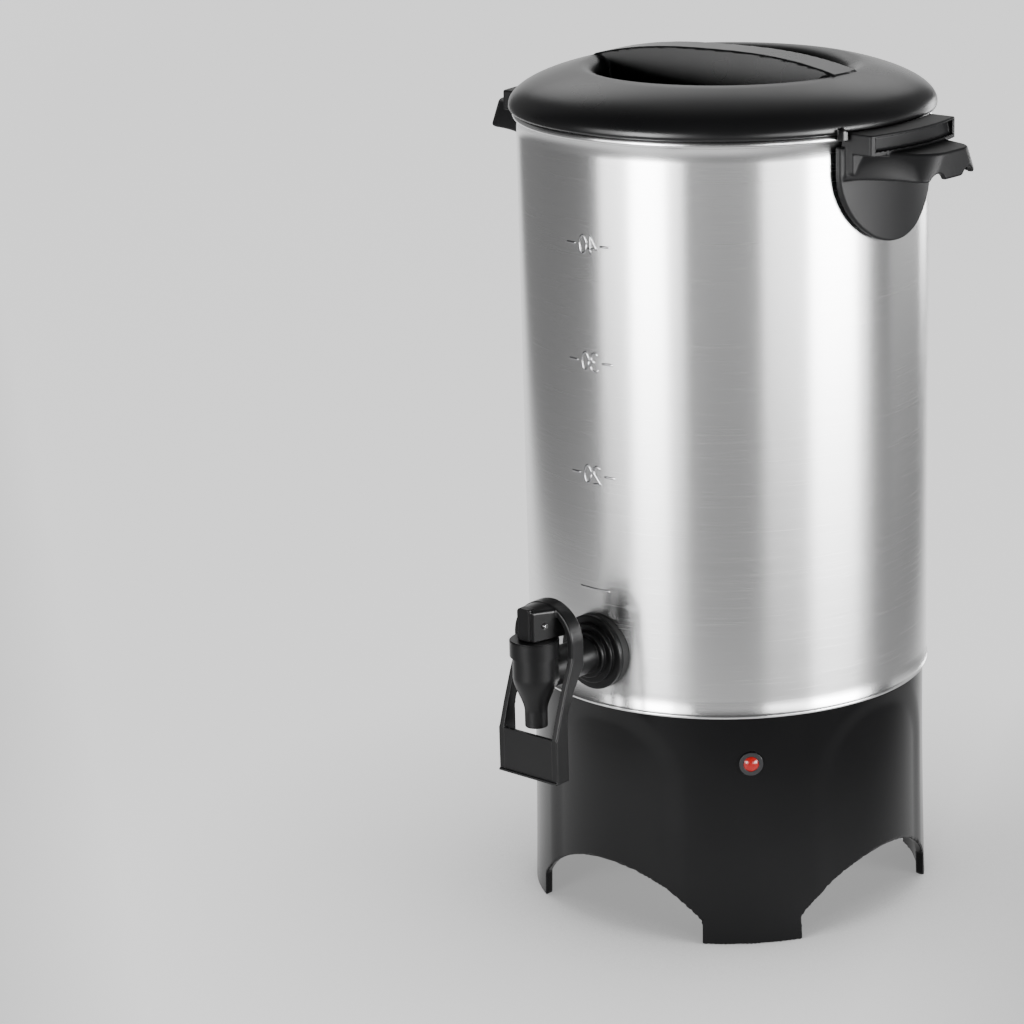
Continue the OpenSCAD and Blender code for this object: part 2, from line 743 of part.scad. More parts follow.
module left_handle() {
    rotate([0, 0, 180]) handle();
}

// Screws from inside the tank, each with a sealing washer that follows the wall
module handle_screws() {
    color(SPRING_STEEL) for (a = [0, 180]) rotate([0, 0, a]) for (y = [-handle_screw_y, handle_screw_y]) {
        wall_x = sqrt(tank_in_r * tank_in_r - handle_screw_y * handle_screw_y);
        rod_x(stud_r - 0.3, wall_x - 4, tank_r + handle_screw_len - 5, y, handle_screw_z);
        rod_x(3.6, wall_x - 4.4, wall_x - 2, y, handle_screw_z);
        intersection() {
            rod_x(5, wall_x - 2 - ALONG, wall_x + 3, y, handle_screw_z);
            fine_rod_z(tank_in_r - fit_gap, handle_screw_z - 10, handle_screw_z + 10);
        }
    }
}

// ---------- tap ----------

module tap_gasket() {
    color(BLACK) difference() {
        along_shank() translate([0, 0, tank_r - 6]) ring(gasket_r, shank_r + fit_gap, flange_o - tank_r + 6);
        fine_rod_z(tank_r + fit_gap, tap_z - 30, tap_z + 30);
    }
}

// Outline of the spout: a tulip that closes to the nozzle
module spout_profile() {
    steps = 10;
    tulip = [for (i = [0:steps]) let (t = i / steps)
        [nozzle_r + (spout_r - nozzle_r) * smooth_step(t), taper_z + (shoulder_z - taper_z) * t]];
    polygon(concat([[0, nozzle_tip_z], [nozzle_r - 0.5, nozzle_tip_z], [nozzle_r, nozzle_tip_z + 0.5]], tulip,
        [[neck_r, shoulder_z], [neck_r, neck_top], [0, neck_top]]));
}

module tap_body() {
    color(BLACK) difference() {
        union() {
            at_spout() rotate_extrude() spout_profile();
            along_shank() {
                translate([0, 0, nut_o - 2.5]) cylinder(r = shank_r, h = -spout_y - nut_o + 2.5);
                translate([0, 0, flange_o]) cylinder(r = flange_d / 2, h = flange_t);
                translate([0, 0, flange_o + flange_t - ALONG]) cylinder(r = flange_d * 0.4, h = 2);
                translate([0, 0, flange_o + flange_t + 2 - 2 * ALONG]) cylinder(r = flange_d * 0.31, h = 2.4);
            }
        }
        at_spout() {
            rod_z(valve_bore_r, nozzle_tip_z - 1, seat_z + ALONG);
            translate([0, 0, seat_z]) cylinder(r1 = valve_bore_r, r2 = chamber_r, h = seat_h);
            rod_z(chamber_r, seat_z + seat_h - ALONG, neck_top + 1);
        }
        along_shank() translate([0, 0, nut_o - 4]) cylinder(r = shank_r - 3.5, h = -spout_y - nut_o + 4);
    }
}

module tap_inner_gasket() {
    color(SILICONE) intersection() {
        along_shank() translate([0, 0, nut_o + nut_t]) ring(14, shank_r + fit_gap, 10);
        fine_rod_z(tank_in_r - fit_gap, tap_z - 30, tap_z + 30);
    }
}

module tap_nut() {
    color(BLACK) along_shank() hex_nut(27, shank_r + pin_gap, nut_o, nut_o + nut_t);
}

module tap_bonnet() {
    color(BLACK) at_spout() difference() {
        union() {
            rod_z(bonnet_d / 2 - 0.5, shoulder_z, bonnet_top);
            rod_z(bonnet_d / 2, shoulder_z + 0.5, bonnet_top - 0.5);
        }
        rod_z(neck_r + pin_gap, shoulder_z - 1, bonnet_top - bonnet_plate_t);
        rod_z(stem_r + move_gap, shoulder_z, bonnet_top + 1);
    }
}

module valve_stem() {
    color("#e4e2dc") at_spout() difference() {
        union() {
            rod_z(stem_r, tap_z, pin_z + 3.4);
            rod_z(chamber_r - 0.8, stem_collar_z, stem_collar_z + stem_collar_t);
        }
        rod_x(pin_r + 0.02, -10, 10, 0, pin_z);
    }
}

module seat_cup() {
    rise = seat_h * 0.63;
    slope = (chamber_r - valve_bore_r) / seat_h;
    low_z = seat_z + 2.2;
    color(SILICONE) at_spout() difference() {
        rotate_extrude() polygon([[0, low_z], [valve_bore_r + slope * 2.2 - seat_gap - 0.1, low_z],
            [valve_bore_r + slope * (2.2 + rise) - seat_gap - 0.1, low_z + rise],
            [chamber_r - move_gap, stem_collar_z - 1.4], [chamber_r - 1.2, stem_collar_z],
            [0, stem_collar_z]]);
        rod_z(stem_r + 0.03, tap_z, stem_collar_z + 1);
    }
}

// The valve spring is one tube wound round the stem
function spring_point(i) = let (a = 360 * i / 8, t = i / spring_rings)
    [spring_d / 2 * cos(a), spring_d / 2 * sin(a), spring_low + (spring_high - spring_low) * t];

module valve_spring() {
    color(SPRING_STEEL) at_spout() sweep([for (i = [0:spring_rings]) spring_point(i)], spring_wire_d / 2,
        spring_sides, [0, 0, 1]);
}
spring_gap = min([for (i = [0:spring_rings]) for (k = [i + 6:1:spring_rings])
    norm(spring_point(k) - spring_point(i))]) - spring_wire_d;
echo(least_gap_between_spring_curls_mm = spring_gap);

module lever_pin() {
    color(STEEL) at_spout() rod_x(pin_r, -7.6, 7.6, 0, pin_z);
}

// Side view of the loop: x is outward from the spout's axis, y is up
module loop_side_outline() {
    front = arm_back + arm_band;
    low_back = paddle_out - arm_band - 0.3;
    polygon([[arm_back, lever_top + 1], [arm_back, tap_z + 4], [arm_back + 3.2, tap_z - 0.4],
        [low_back - 5, tap_z - 6.6], [low_back - 1.1, tap_z - 14], [low_back, tap_z - 19],
        [low_back, paddle_bottom], [paddle_out, paddle_bottom], [paddle_out, paddle_top],
        [paddle_out - 3.6, tap_z - 15], [front + 4, tap_z - 2], [front + 0.4, tap_z + 7],
        [front, tap_z + 9], [front, lever_top + 1]]);
}

// Front view of the loop or of what it goes round: straight sides under a round arch
module loop_front_outline(half_w, bottom) {
    translate([0, arch_z]) circle(r = half_w);
    translate([-half_w, bottom]) square([2 * half_w, arch_z - bottom]);
}

// The head seen from above: a wedge, narrow in front
module head_plan() {
    polygon([[-5, heel_out - 1.2], [5, heel_out - 1.2], [9.5, arm_back + 0.5], [-9.5, arm_back + 0.5]]);
}

module tap_lever() {
    head_z = bonnet_top + seat_gap;
    slot_half = (pin_z - head_z) * tan(lever_tilt) + stem_r / cos(lever_tilt) + seat_gap;
    color(BLACK) at_spout() difference() {
        union() {
            intersection() {
                rotate([90, 0, 0]) translate([0, 0, -20]) linear_extrude(height = 40) difference() {
                    loop_front_outline(arch_out_r, paddle_bottom);
                    loop_front_outline(arch_out_r - lever_t, paddle_bottom - 1);
                }
                rotate([90, 0, -90]) translate([0, 0, -20]) linear_extrude(height = 40) loop_side_outline();
            }
            // the head over the stem, crowned under the arch, and the nose in front of it
            intersection() {
                mirror([0, 1, 0]) translate([0, 0, head_z]) linear_extrude(height = lever_top - head_z) head_plan();
                translate([0, 20, arch_z]) rotate([90, 0, 0]) cylinder(r = arch_out_r - 0.5, h = 40);
            }
            translate([-3.3, -heel_out, head_z]) cube([6.6, 4, lever_top - 0.2 - head_z]);
            // the front plate, with a lip along its lower edge
            translate([-lever_w / 2 + 0.1, -paddle_out, paddle_bottom])
                cube([lever_w - 0.2, lever_t - 0.8, paddle_h]);
            translate([-lever_w / 2 + 0.1, -paddle_out - 0.9, paddle_bottom]) cube([lever_w - 0.2, 2, 1.3]);
        }
        rod_x(pin_r + pin_gap, -20, 20, 0, pin_z);
        translate([-stem_r - move_gap, -slot_half, head_z - 1])
            cube([2 * (stem_r + move_gap), 2 * slot_half, pin_z + 3.4 + move_gap + 1.2 - head_z + 1]);
    }
}

// ---------- brewing parts ----------

module pump_tube() {
    color(ALUMINIUM) {
        tube_z(tube_r, tube_r - pump_wall, pit_z + 7, tube_top);
        tube_z(shoulder_r, tube_r - pump_wall / 2, basket_z - seat_gap - 1.6, basket_z - seat_gap);
    }
}

// An inverted dish that stands in the heating well; water enters through the notches in its edge
module pump_foot() {
    base = pit_z + seat_gap;
    bell = [for (i = [0:6]) let (t = i / 6) [foot_r + (tube_r + 1 - foot_r) * t, base + 2 + 8 * smooth_step(t)]];
    inner = [for (i = [6:-1:0]) [bell[i][0] - 1, bell[i][1] - 1.2]];
    color(ALUMINIUM) difference() {
        union() {
            rotate_extrude() polygon(concat([[foot_r, base]], bell, [[tube_r + 1, base + 14],
                [tube_r + fit_gap / 3, base + 14], [tube_r + fit_gap / 3, base + 8.8]], inner, [[foot_r - 1, base]]));
        }
        for (a = [0:60:120]) rotate([0, 0, a]) translate([-foot_r - 1, -2.5, base - 1])
            cube([2 * foot_r + 2, 5, 2.4]);
    }
}

module sieve_holes(z) {
    for (k = sieve_rings) for (i = [0:k[1] - 1]) rotate([0, 0, 360 * i / k[1]])
        translate([k[0] * basket_d / 140, 0, z]) cylinder(d = sieve_hole_d, h = 4, $fn = 24);
}

module basket() {
    bead_z = basket_z + basket_h - basket_bead_r;
    color(ALUMINIUM) difference() {
        rotate_extrude() {
            translate([basket_r - basket_wall, basket_z]) square([basket_wall, basket_h - basket_bead_r]);
            translate([basket_r, bead_z]) circle(r = basket_bead_r, $fn = 32);
            translate([sleeve_in_r, basket_z]) square([basket_r - sleeve_in_r, basket_wall]);
            translate([sleeve_in_r, basket_z]) square([basket_wall, basket_h - 4]);
        }
        sieve_holes(basket_z - 1.5);
    }
}

module basket_cover() {
    z = cover_seat_z;
    rim_r = basket_r + basket_bead_r + 1.4;
    color(ALUMINIUM) difference() {
        rotate_extrude() polygon([[sleeve_in_r, z + 3], [16, z + 3], [19, z], [rim_r - 0.8, z], [rim_r - 0.8, z - 3],
            [rim_r, z - 3], [rim_r, z + 0.8], [19.4, z + 0.8], [16.4, z + 3.8], [sleeve_in_r, z + 3.8]]);
        sieve_holes(z - 1.5);
    }
}

// ---------- lid ----------

function dome_z(r) = lid_edge_z + lid_rise * sqrt(1 - pow(r / lid_r, 2));

function dome_points(inset, r_max) = [for (i = [0:16]) let (a = 90 * i / 16, r = (lid_r - inset) * cos(a))
    [min(r, r_max), lid_edge_z + (lid_rise - inset) * sin(a)]];

// Outline of the wells' outer wall, from the floor up: a steep wall that rounds over to the dome
function well_points(grow) = let (x = well_ring_r - well_slope_w, h = well_slope_w * 0.75)
    concat([[x - 1.5 + grow, well_floor_z - grow], [x + grow, well_ring_z - h - grow / 2]],
        [for (i = [1:6]) let (a = 15 * i)
            [x + grow + well_slope_w * (1 - cos(a)), well_ring_z - h + h * sin(a) - grow / 2]]);

// The side of the bar leans out by the draft
function bar_side(z) = bar_half_w + 2.5 * (bar_crest_z - z) / (bar_crest_z - well_floor_z);

// One finger well, on the -Y side of the bar
module finger_well() {
    high = bar_crest_z + 3;
    intersection() {
        rotate_extrude() polygon(concat([[0, well_floor_z]], well_points(0), [[well_ring_r, high], [0, high]]));
        rotate([90, 0, 90]) translate([0, 0, -lid_r]) linear_extrude(height = 2 * lid_r)
            polygon([[-bar_side(well_floor_z - 1), well_floor_z - 1], [-bar_side(high), high], [-lid_r, high],
                [-lid_r, well_floor_z - 1]]);
    }
}

// The crest over the bar; the wells cut its sides
module bar_crest() {
    intersection() {
        translate([-well_ring_r, -bar_half_w - 4, well_ring_z - 4])
            cube([2 * well_ring_r, 2 * bar_half_w + 8, bar_crest_z - well_ring_z + 5]);
        translate([0, 50, bar_crest_z - bar_crest_r]) rotate([90, 0, 0])
            cylinder(r = bar_crest_r, h = 100, $fn = 720);
        rod_z(well_ring_r - 0.5, well_ring_z - 5, bar_crest_z + 1);
    }
}

module bar_hollow() {
    low_w = bar_side(lid_under_z) - lid_wall;
    high = well_ring_z - 1;
    rotate([90, 0, 90]) translate([0, 0, -well_ring_r + 20]) linear_extrude(height = 2 * well_ring_r - 40)
        polygon([[-low_w, lid_under_z - 1], [low_w, lid_under_z - 1], [bar_side(high) - lid_wall, high],
            [-bar_side(high) + lid_wall, high]]);
}

module lid() {
    lip = [[skirt_out_r, lid_seat_z - skirt_depth], [skirt_out_r, lid_seat_z], [lid_r - 2.2, lid_seat_z],
        [lid_r - 1.2, lid_seat_z + 0.2], [lid_r - 0.3, lid_seat_z + 1]];
    inner_edge = skirt_out_r - lid_wall;
    color("#232325") {
        difference() {
            union() {
                rotate_extrude() polygon(concat([[0, lid_seat_z - skirt_depth]], lip, dome_points(0, lid_r)));
                rotate([0, 0, bar_turn]) bar_crest();
            }
            difference() {
                rotate_extrude() polygon(concat([[0, lid_seat_z - skirt_depth - 1],
                    [inner_edge, lid_seat_z - skirt_depth - 1]], dome_points(lid_wall, inner_edge)));
                rotate_extrude() polygon(concat([[0, lid_under_z]], well_points(lid_wall),
                    [[well_ring_r + lid_wall, lid_top + 5], [0, lid_top + 5]]));
            }
            for (a = [0, 180]) rotate([0, 0, a + bar_turn]) finger_well();
            rotate([0, 0, bar_turn]) bar_hollow();
        }
        for (a = lug_angles) facing(a) translate([-1.3, -lid_r - 4.5, tank_top - 2])
            cube([2.6, 4.5 + lid_r - rim_out_r - 2 * move_gap, lid_edge_z + 0.6 - tank_top + 2]);
    }
}

base_housing();
base_cover();
cover_screws();
light_bezel();
indicator_lens();
indicator_lamp();
inlet_housing();
inlet_pins();
tank();
tank_studs();
tank_nuts();
heat_plate();
heating_element();
thermostat();
thermostat_strap();
strap_studs();
strap_nuts();
thermal_fuse();
wiring();
right_handle();
left_handle();
handle_screws();
tap_gasket();
tap_body();
tap_inner_gasket();
tap_nut();
tap_bonnet();
valve_stem();
seat_cup();
valve_spring();
lever_pin();
tap_lever();
pump_tube();
pump_foot();
basket();
basket_cover();
lid();
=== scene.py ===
# Looks of the coffee urn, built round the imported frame. Metres, +Z up, the tap points to -Y.
import math

import bpy
import numpy as np
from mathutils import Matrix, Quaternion, Vector


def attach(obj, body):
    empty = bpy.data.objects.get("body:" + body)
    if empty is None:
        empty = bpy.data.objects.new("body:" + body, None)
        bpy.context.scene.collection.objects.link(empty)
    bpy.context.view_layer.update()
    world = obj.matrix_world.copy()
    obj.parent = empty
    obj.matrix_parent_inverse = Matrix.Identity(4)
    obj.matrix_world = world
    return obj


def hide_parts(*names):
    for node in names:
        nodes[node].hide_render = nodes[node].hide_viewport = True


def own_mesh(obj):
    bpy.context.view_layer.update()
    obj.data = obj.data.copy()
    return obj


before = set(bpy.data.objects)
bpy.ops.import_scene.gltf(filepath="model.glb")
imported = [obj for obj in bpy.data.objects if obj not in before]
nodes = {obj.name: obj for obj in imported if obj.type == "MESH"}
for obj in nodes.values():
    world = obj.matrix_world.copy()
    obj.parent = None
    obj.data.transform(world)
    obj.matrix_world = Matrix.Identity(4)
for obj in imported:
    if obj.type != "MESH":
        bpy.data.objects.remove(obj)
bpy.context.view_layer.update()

# ---------------------------------------------------------------- sizes, in millimetres, as in the CAD
TANK_R = 95.0
BASE_H = 111.0
LID_R = 98.5
LID_EDGE = 378.5
LID_RISE = 23.4
LID_SEAT = 376.3
SPOUT_Y = -138.0
TAP_Z = 138.0

# the camera of the photograph: degrees round from the tap, down and over, and metres from the axis and up
CAMERA_ROUND = math.radians(39.0)
CAMERA_DOWN = math.radians(16.354)
CAMERA_ROLL = math.radians(-0.594)
CAMERA_OUT, CAMERA_UP = 1.5209, 0.6277


# ---------------------------------------------------------------- meshes from distance functions
def r_max(a, b, r):
    """Intersection of two solids with a rounded edge."""
    return np.minimum(np.maximum(a, b), -r) + np.hypot(np.maximum(a + r, 0), np.maximum(b + r, 0))


def r_min(a, b, r):
    """Union of two solids with a fillet."""
    return np.maximum(np.minimum(a, b), r) - np.hypot(np.maximum(r - a, 0), np.maximum(r - b, 0))


def smooth(t):
    """Eases from 0 to 1 as t goes from 0 to 1."""
    return t * t * (3 - 2 * t)


def slab(v, lo, hi):
    return np.maximum(lo - v, v - hi)


def box2(u, v, hu, hv, r=0.0):
    """Distance to a rectangle of half sizes hu, hv with corners of radius r."""
    qu, qv = np.abs(u) - hu + r, np.abs(v) - hv + r
    return np.hypot(np.maximum(qu, 0), np.maximum(qv, 0)) + np.minimum(np.maximum(qu, qv), 0) - r


def poly2(u, v, pts):
    """Signed distance to a closed polygon, negative inside."""
    d = np.full(u.shape, 1e9)
    sign = np.ones(u.shape)
    n = len(pts)
    for i in range(n):
        (ax, ay), (bx, by) = pts[i], pts[i - 1]
        ex, ey = bx - ax, by - ay
        wx, wy = u - ax, v - ay
        t = np.clip((wx * ex + wy * ey) / (ex * ex + ey * ey), 0, 1)
        d = np.minimum(d, (wx - ex * t) ** 2 + (wy - ey * t) ** 2)
        c1, c2, c3 = v >= ay, v < by, ex * wy > ey * wx
        flip = (c1 & c2 & c3) | (~c1 & ~c2 & ~c3)
        sign = np.where(flip, -sign, sign)
    return sign * np.sqrt(d)


def net(f, lo, hi, h):
    """Vertices, faces and normals of the surface f = 0 by surface nets; f is given x, y, z in mm."""
    ax = [np.arange(a - h * 1.5, b + h * 2.5, h) for a, b in zip(lo, hi)]
    nx, ny, nz = (len(a) for a in ax)
    d = np.empty((nx, ny, nz), np.float32)
    for i in range(0, nx, 24):
        g = np.meshgrid(ax[0][i:i + 24], ax[1], ax[2], indexing="ij")
        d[i:i + 24] = f(*g)
    d = np.where(np.abs(d) < 1e-4, 1e-4, d)
    inside = d < 0
    count = np.zeros((nx - 1, ny - 1, nz - 1), np.uint8)
    for a in (0, 1):
        for b in (0, 1):
            for c in (0, 1):
                count += inside[a:nx - 1 + a, b:ny - 1 + b, c:nz - 1 + c]
    active = (count > 0) & (count < 8)
    index = np.full(active.shape, -1, np.int64)
    cells = np.argwhere(active)
    index[active] = np.arange(len(cells))
    total, hits = np.zeros((len(cells), 3)), np.zeros(len(cells))
    corners = [(a, b, c) for a in (0, 1) for b in (0, 1) for c in (0, 1)]
    for p in corners:
        for k in range(3):
            if p[k]:
                continue
            q = list(p)
            q[k] = 1
            i0 = (cells + p).T
            i1 = (cells + q).T
            d0, d1 = d[tuple(i0)], d[tuple(i1)]
            cross = (d0 < 0) != (d1 < 0)
            t = np.where(cross, d0 / np.where(cross, d0 - d1, 1), 0)
            point = np.tile(np.array(p, float), (len(cells), 1))
            point[:, k] = t
            total += point * cross[:, None]
            hits += cross
    origin = np.array([a[0] for a in ax])
    v = origin + (cells + total / hits[:, None]) * h

    def grad(p, e):
        g = np.empty_like(p)
        for k in range(3):
            s = np.zeros(3)
            s[k] = e
            g[:, k] = (f(*(p + s).T) - f(*(p - s).T)) / (2 * e)
        return g

    for _ in range(3):
        g = grad(v, h * 0.15)
        step = (f(*v.T) / np.maximum((g ** 2).sum(1), 0.25))[:, None] * g
        v = v - np.clip(step, -h * 0.5, h * 0.5)
    quads = []
    for k in range(3):
        o = [0, 1, 2]
        o.remove(k)
        sl0 = [slice(1, -1)] * 3
        sl0[k] = slice(0, -1)
        sl1 = list(sl0)
        sl1[k] = slice(1, None)
        a, b = inside[tuple(sl0)], inside[tuple(sl1)]
        edge = np.argwhere(a != b)
        flip = a[tuple(edge.T)]
        base = edge.copy()
        for j in o:
            base[:, j] += 1
        ring = []
        for s, t in ((0, 0), (1, 0), (1, 1), (0, 1)):
            c = base.copy()
            c[:, o[0]] -= s
            c[:, o[1]] -= t
            ring.append(index[tuple(c.T)])
        q = np.stack(ring, 1)
        if k == 1:
            flip = ~flip
        q[flip] = q[flip][:, ::-1]
        quads.append(q)
    quads = np.concatenate(quads)
    n = grad(v, h * 0.3)
    n /= np.maximum(np.linalg.norm(n, axis=1), 1e-9)[:, None]
    # faces must look outward
    a, b, c = v[quads[:, 0]], v[quads[:, 1]], v[quads[:, 2]]
    face = np.cross(b - a, c - a)
    wrong = (face * n[quads[:, 0]]).sum(1) < 0
    if wrong.mean() > 0.5:
        quads = quads[:, ::-1]
    return v, quads, n


def piece(name, v, faces, material, body, normals=None, slot=None, replaces=()):
    """A mesh object from points in mm that rides on a body."""
    mesh = bpy.data.meshes.new(name)
    mesh.from_pydata((np.asarray(v) * 0.001).tolist(), [], [list(map(int, q)) for q in faces])
    mesh.validate()
    mesh.update()
    mesh.polygons.foreach_set("use_smooth", [True] * len(mesh.polygons))
    if normals is not None and len(mesh.vertices) == len(normals):
        mesh.normals_split_custom_set_from_vertices(np.asarray(normals).tolist())
    o = bpy.data.objects.new(name, mesh)
    bpy.context.collection.objects.link(o)
    mesh.materials.append(material)
    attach(o, body)
    if replaces:
        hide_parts(*replaces)
    return o


def sdf_piece(name, f, lo, hi, h, material, body, **kw):
    v, q, n = net(f, lo, hi, h)
    return piece(name, v, q, material, body, normals=n, **kw)


def lathe(profile, segments):
    """Vertices and faces of a closed profile [(r, z)] turned round Z."""
    n = len(profile)
    a = np.arange(segments) * 2 * np.pi / segments
    v = [(r * math.cos(t), r * math.sin(t), z) for t in a for r, z in profile]
    faces = []
    for i in range(segments):
        i2 = (i + 1) % segments
        for j in range(n):
            j2 = (j + 1) % n
            faces.append((i * n + j, i2 * n + j, i2 * n + j2, i * n + j2))
    return np.array(v), faces


def arc(cx, cy, r, a0, a1, n):
    return [(cx + r * math.cos(math.radians(a0 + (a1 - a0) * i / n)),
             cy + r * math.sin(math.radians(a0 + (a1 - a0) * i / n))) for i in range(n + 1)]


# ---------------------------------------------------------------- materials
def shader(name, colour, metallic=0.0, roughness=0.4, specular=0.5, coat=0.0):
    m = bpy.data.materials.new(name)
    m.use_nodes = True
    nt = m.node_tree
    bsdf = nt.nodes["Principled BSDF"]
    bsdf.inputs["Base Color"].default_value = (*colour, 1)
    bsdf.inputs["Metallic"].default_value = metallic
    bsdf.inputs["Roughness"].default_value = roughness
    bsdf.inputs["Specular IOR Level"].default_value = specular
    bsdf.inputs["Coat Weight"].default_value = coat
    bsdf.inputs["Coat Roughness"].default_value = 0.1
    return m, nt, bsdf


def node(nt, kind, **values):
    n = nt.nodes.new(kind)
    for k, v in values.items():
        if k in n.inputs:
            n.inputs[k].default_value = v
        else:
            setattr(n, k, v)
    return n


def noise(nt, scale, detail=4.0, rough=0.5, stretch=(1, 1, 1)):
    co = node(nt, "ShaderNodeTexCoord")
    mp = node(nt, "ShaderNodeMapping")
    mp.inputs["Scale"].default_value = stretch
    tx = node(nt, "ShaderNodeTexNoise", Scale=scale, Detail=detail, Roughness=rough)
    nt.links.new(co.outputs["Object"], mp.inputs["Vector"])
    nt.links.new(mp.outputs["Vector"], tx.inputs["Vector"])
    return tx.outputs["Fac"]


def ramp(nt, fac, lo, hi, a=0.3, b=0.7):
    """Maps fac from a..b to lo..hi."""
    r = node(nt, "ShaderNodeMapRange")
    r.inputs["From Min"].default_value = a
    r.inputs["From Max"].default_value = b
    r.inputs["To Min"].default_value = lo
    r.inputs["To Max"].default_value = hi
    nt.links.new(fac, r.inputs["Value"])
    return r.outputs["Result"]


def mixed(nt, fac, c1, c2):
    m = node(nt, "ShaderNodeMix", data_type="RGBA")
    m.inputs[6].default_value = (*c1, 1)
    m.inputs[7].default_value = (*c2, 1)
    nt.links.new(fac, m.inputs[0])
    return m.outputs[2]


def bump(nt, bsdf, height, strength, distance, edge=0.0):
    b = node(nt, "ShaderNodeBump")
    b.inputs["Strength"].default_value = strength
    b.inputs["Distance"].default_value = distance
    nt.links.new(height, b.inputs["Height"])
    if edge:
        e = node(nt, "ShaderNodeBevel", samples=6)
        e.inputs["Radius"].default_value = edge
        nt.links.new(e.outputs["Normal"], b.inputs["Normal"])
    nt.links.new(b.outputs["Normal"], bsdf.inputs["Normal"])


def plastic(name, colour, roughness, grain=900.0, depth=0.00004, specular=0.5, vary=0.05, edge=0.0):
    """Moulded plastic: fine grain, slightly uneven gloss, colour a little uneven."""
    m, nt, b = shader(name, colour, roughness=roughness, specular=specular)
    fine = noise(nt, grain, 6.0, 0.6)
    broad = noise(nt, 14.0, 3.0)
    nt.links.new(ramp(nt, broad, roughness - vary, roughness + vary), b.inputs["Roughness"])
    light = tuple(min(1.0, c * 1.25 + 0.002) for c in colour)
    nt.links.new(mixed(nt, broad, colour, light), b.inputs["Base Color"])
    bump(nt, b, fine, 0.25, depth, edge)
    return m


def metal(name, colour, roughness, stretch=(1, 1, 1), scale=60.0, vary=0.06, edge=0.0, tint=0.9):
    """Worked metal: streaks in gloss and colour along one direction."""
    m, nt, b = shader(name, colour, metallic=1.0, roughness=roughness)
    streak = noise(nt, scale, 8.0, 0.7, stretch)
    broad = noise(nt, 9.0, 3.0)
    nt.links.new(ramp(nt, streak, roughness - vary, roughness + vary), b.inputs["Roughness"])
    nt.links.new(mixed(nt, broad, tuple(c * tint for c in colour), colour), b.inputs["Base Color"])
    bump(nt, b, streak, 0.2, 0.00002, edge)
    return m


def rubber(name, colour, edge=0.0):
    m, nt, b = shader(name, colour, roughness=0.7, specular=0.3)
    fine = noise(nt, 1500.0, 5.0, 0.6)
    nt.links.new(ramp(nt, noise(nt, 40.0), 0.6, 0.8), b.inputs["Roughness"])
    nt.links.new(mixed(nt, noise(nt, 25.0), tuple(c * 0.8 for c in colour), colour), b.inputs["Base Color"])
    bump(nt, b, fine, 0.3, 0.00005, edge)
    return m


def tank_steel():
    """Rolled steel with a fine polish round the tank."""
    m, nt, b = shader("tank_steel", (0.80, 0.80, 0.80), metallic=1.0, roughness=0.25)
    b.inputs["Anisotropic"].default_value = 0.75
    b.inputs["Anisotropic Rotation"].default_value = 0.25
    around = node(nt, "ShaderNodeTangent", direction_type="RADIAL", axis="Z")
    nt.links.new(around.outputs["Tangent"], b.inputs["Tangent"])
    lines = noise(nt, 3.0, 10.0, 0.75, (4.0, 4.0, 900.0))
    broad = noise(nt, 5.0, 3.0, 0.5, (1.0, 1.0, 0.6))
    nt.links.new(ramp(nt, lines, 0.21, 0.29), b.inputs["Roughness"])
    nt.links.new(mixed(nt, broad, (0.77, 0.77, 0.775), (0.82, 0.82, 0.82)), b.inputs["Base Color"])
    bump(nt, b, lines, 0.10, 0.00001)
    return m


STEEL = tank_steel()
# the marks are pressed from the tank's own steel; this darker copy of it is painted shade that makes the
# strokes stand out
SHADED_MARK_STEEL = metal("mark_steel_painted_shade", (0.46, 0.46, 0.47), 0.24, vary=0.04, tint=0.85)
BASE_BLACK = plastic("base_black", (0.0015, 0.0015, 0.0017), 0.2, specular=0.2, vary=0.03, depth=0.00001)
LID_BLACK = plastic("lid_black", (0.0025, 0.0025, 0.0028), 0.28, specular=0.38, vary=0.04, depth=0.00003)
HANDLE_BLACK = plastic("handle_black", (0.004, 0.004, 0.0044), 0.5, specular=0.22, depth=0.00004)
TAP_BLACK = plastic("tap_black", (0.002, 0.002, 0.0022), 0.36, specular=0.24, depth=0.00002)
TRIM_BLACK = plastic("trim_black", (0.010, 0.010, 0.011), 0.35, edge=0.0003)
COVER_BLACK = plastic("cover_black", (0.014, 0.014, 0.015), 0.55, depth=0.00008, edge=0.0004)
RUBBER_BLACK = rubber("gasket_black", (0.012, 0.012, 0.012), edge=0.0004)
SILICONE = rubber("silicone_red", (0.42, 0.07, 0.04), edge=0.0003)
ACETAL = plastic("acetal_white", (0.75, 0.73, 0.68), 0.4, edge=0.0002)
CERAMIC = plastic("ceramic_buff", (0.60, 0.55, 0.46), 0.6, grain=1600.0, edge=0.0003)
PLATED = metal("zinc_plate", (0.66, 0.66, 0.63), 0.28, edge=0.0002)
PIN_STEEL = metal("pin_steel", (0.72, 0.72, 0.72), 0.22, edge=0.0002)
BRASS = metal("inlet_brass", (0.66, 0.60, 0.42), 0.25, edge=0.0003)
SHEATH = metal("element_sheath", (0.16, 0.15, 0.15), 0.45, scale=200.0, vary=0.1, tint=0.6)
ALU_SPUN = metal("aluminium_spun", (0.70, 0.71, 0.72), 0.32, (1, 1, 60), 20.0, edge=0.0002)
ALU_FLAT = metal("aluminium_flat", (0.68, 0.69, 0.70), 0.38, (1, 30, 1), 30.0, edge=0.0003)
SPRING = metal("spring_steel", (0.60, 0.60, 0.61), 0.2)
WIRE = rubber("wire_sleeve", (0.35, 0.06, 0.04))


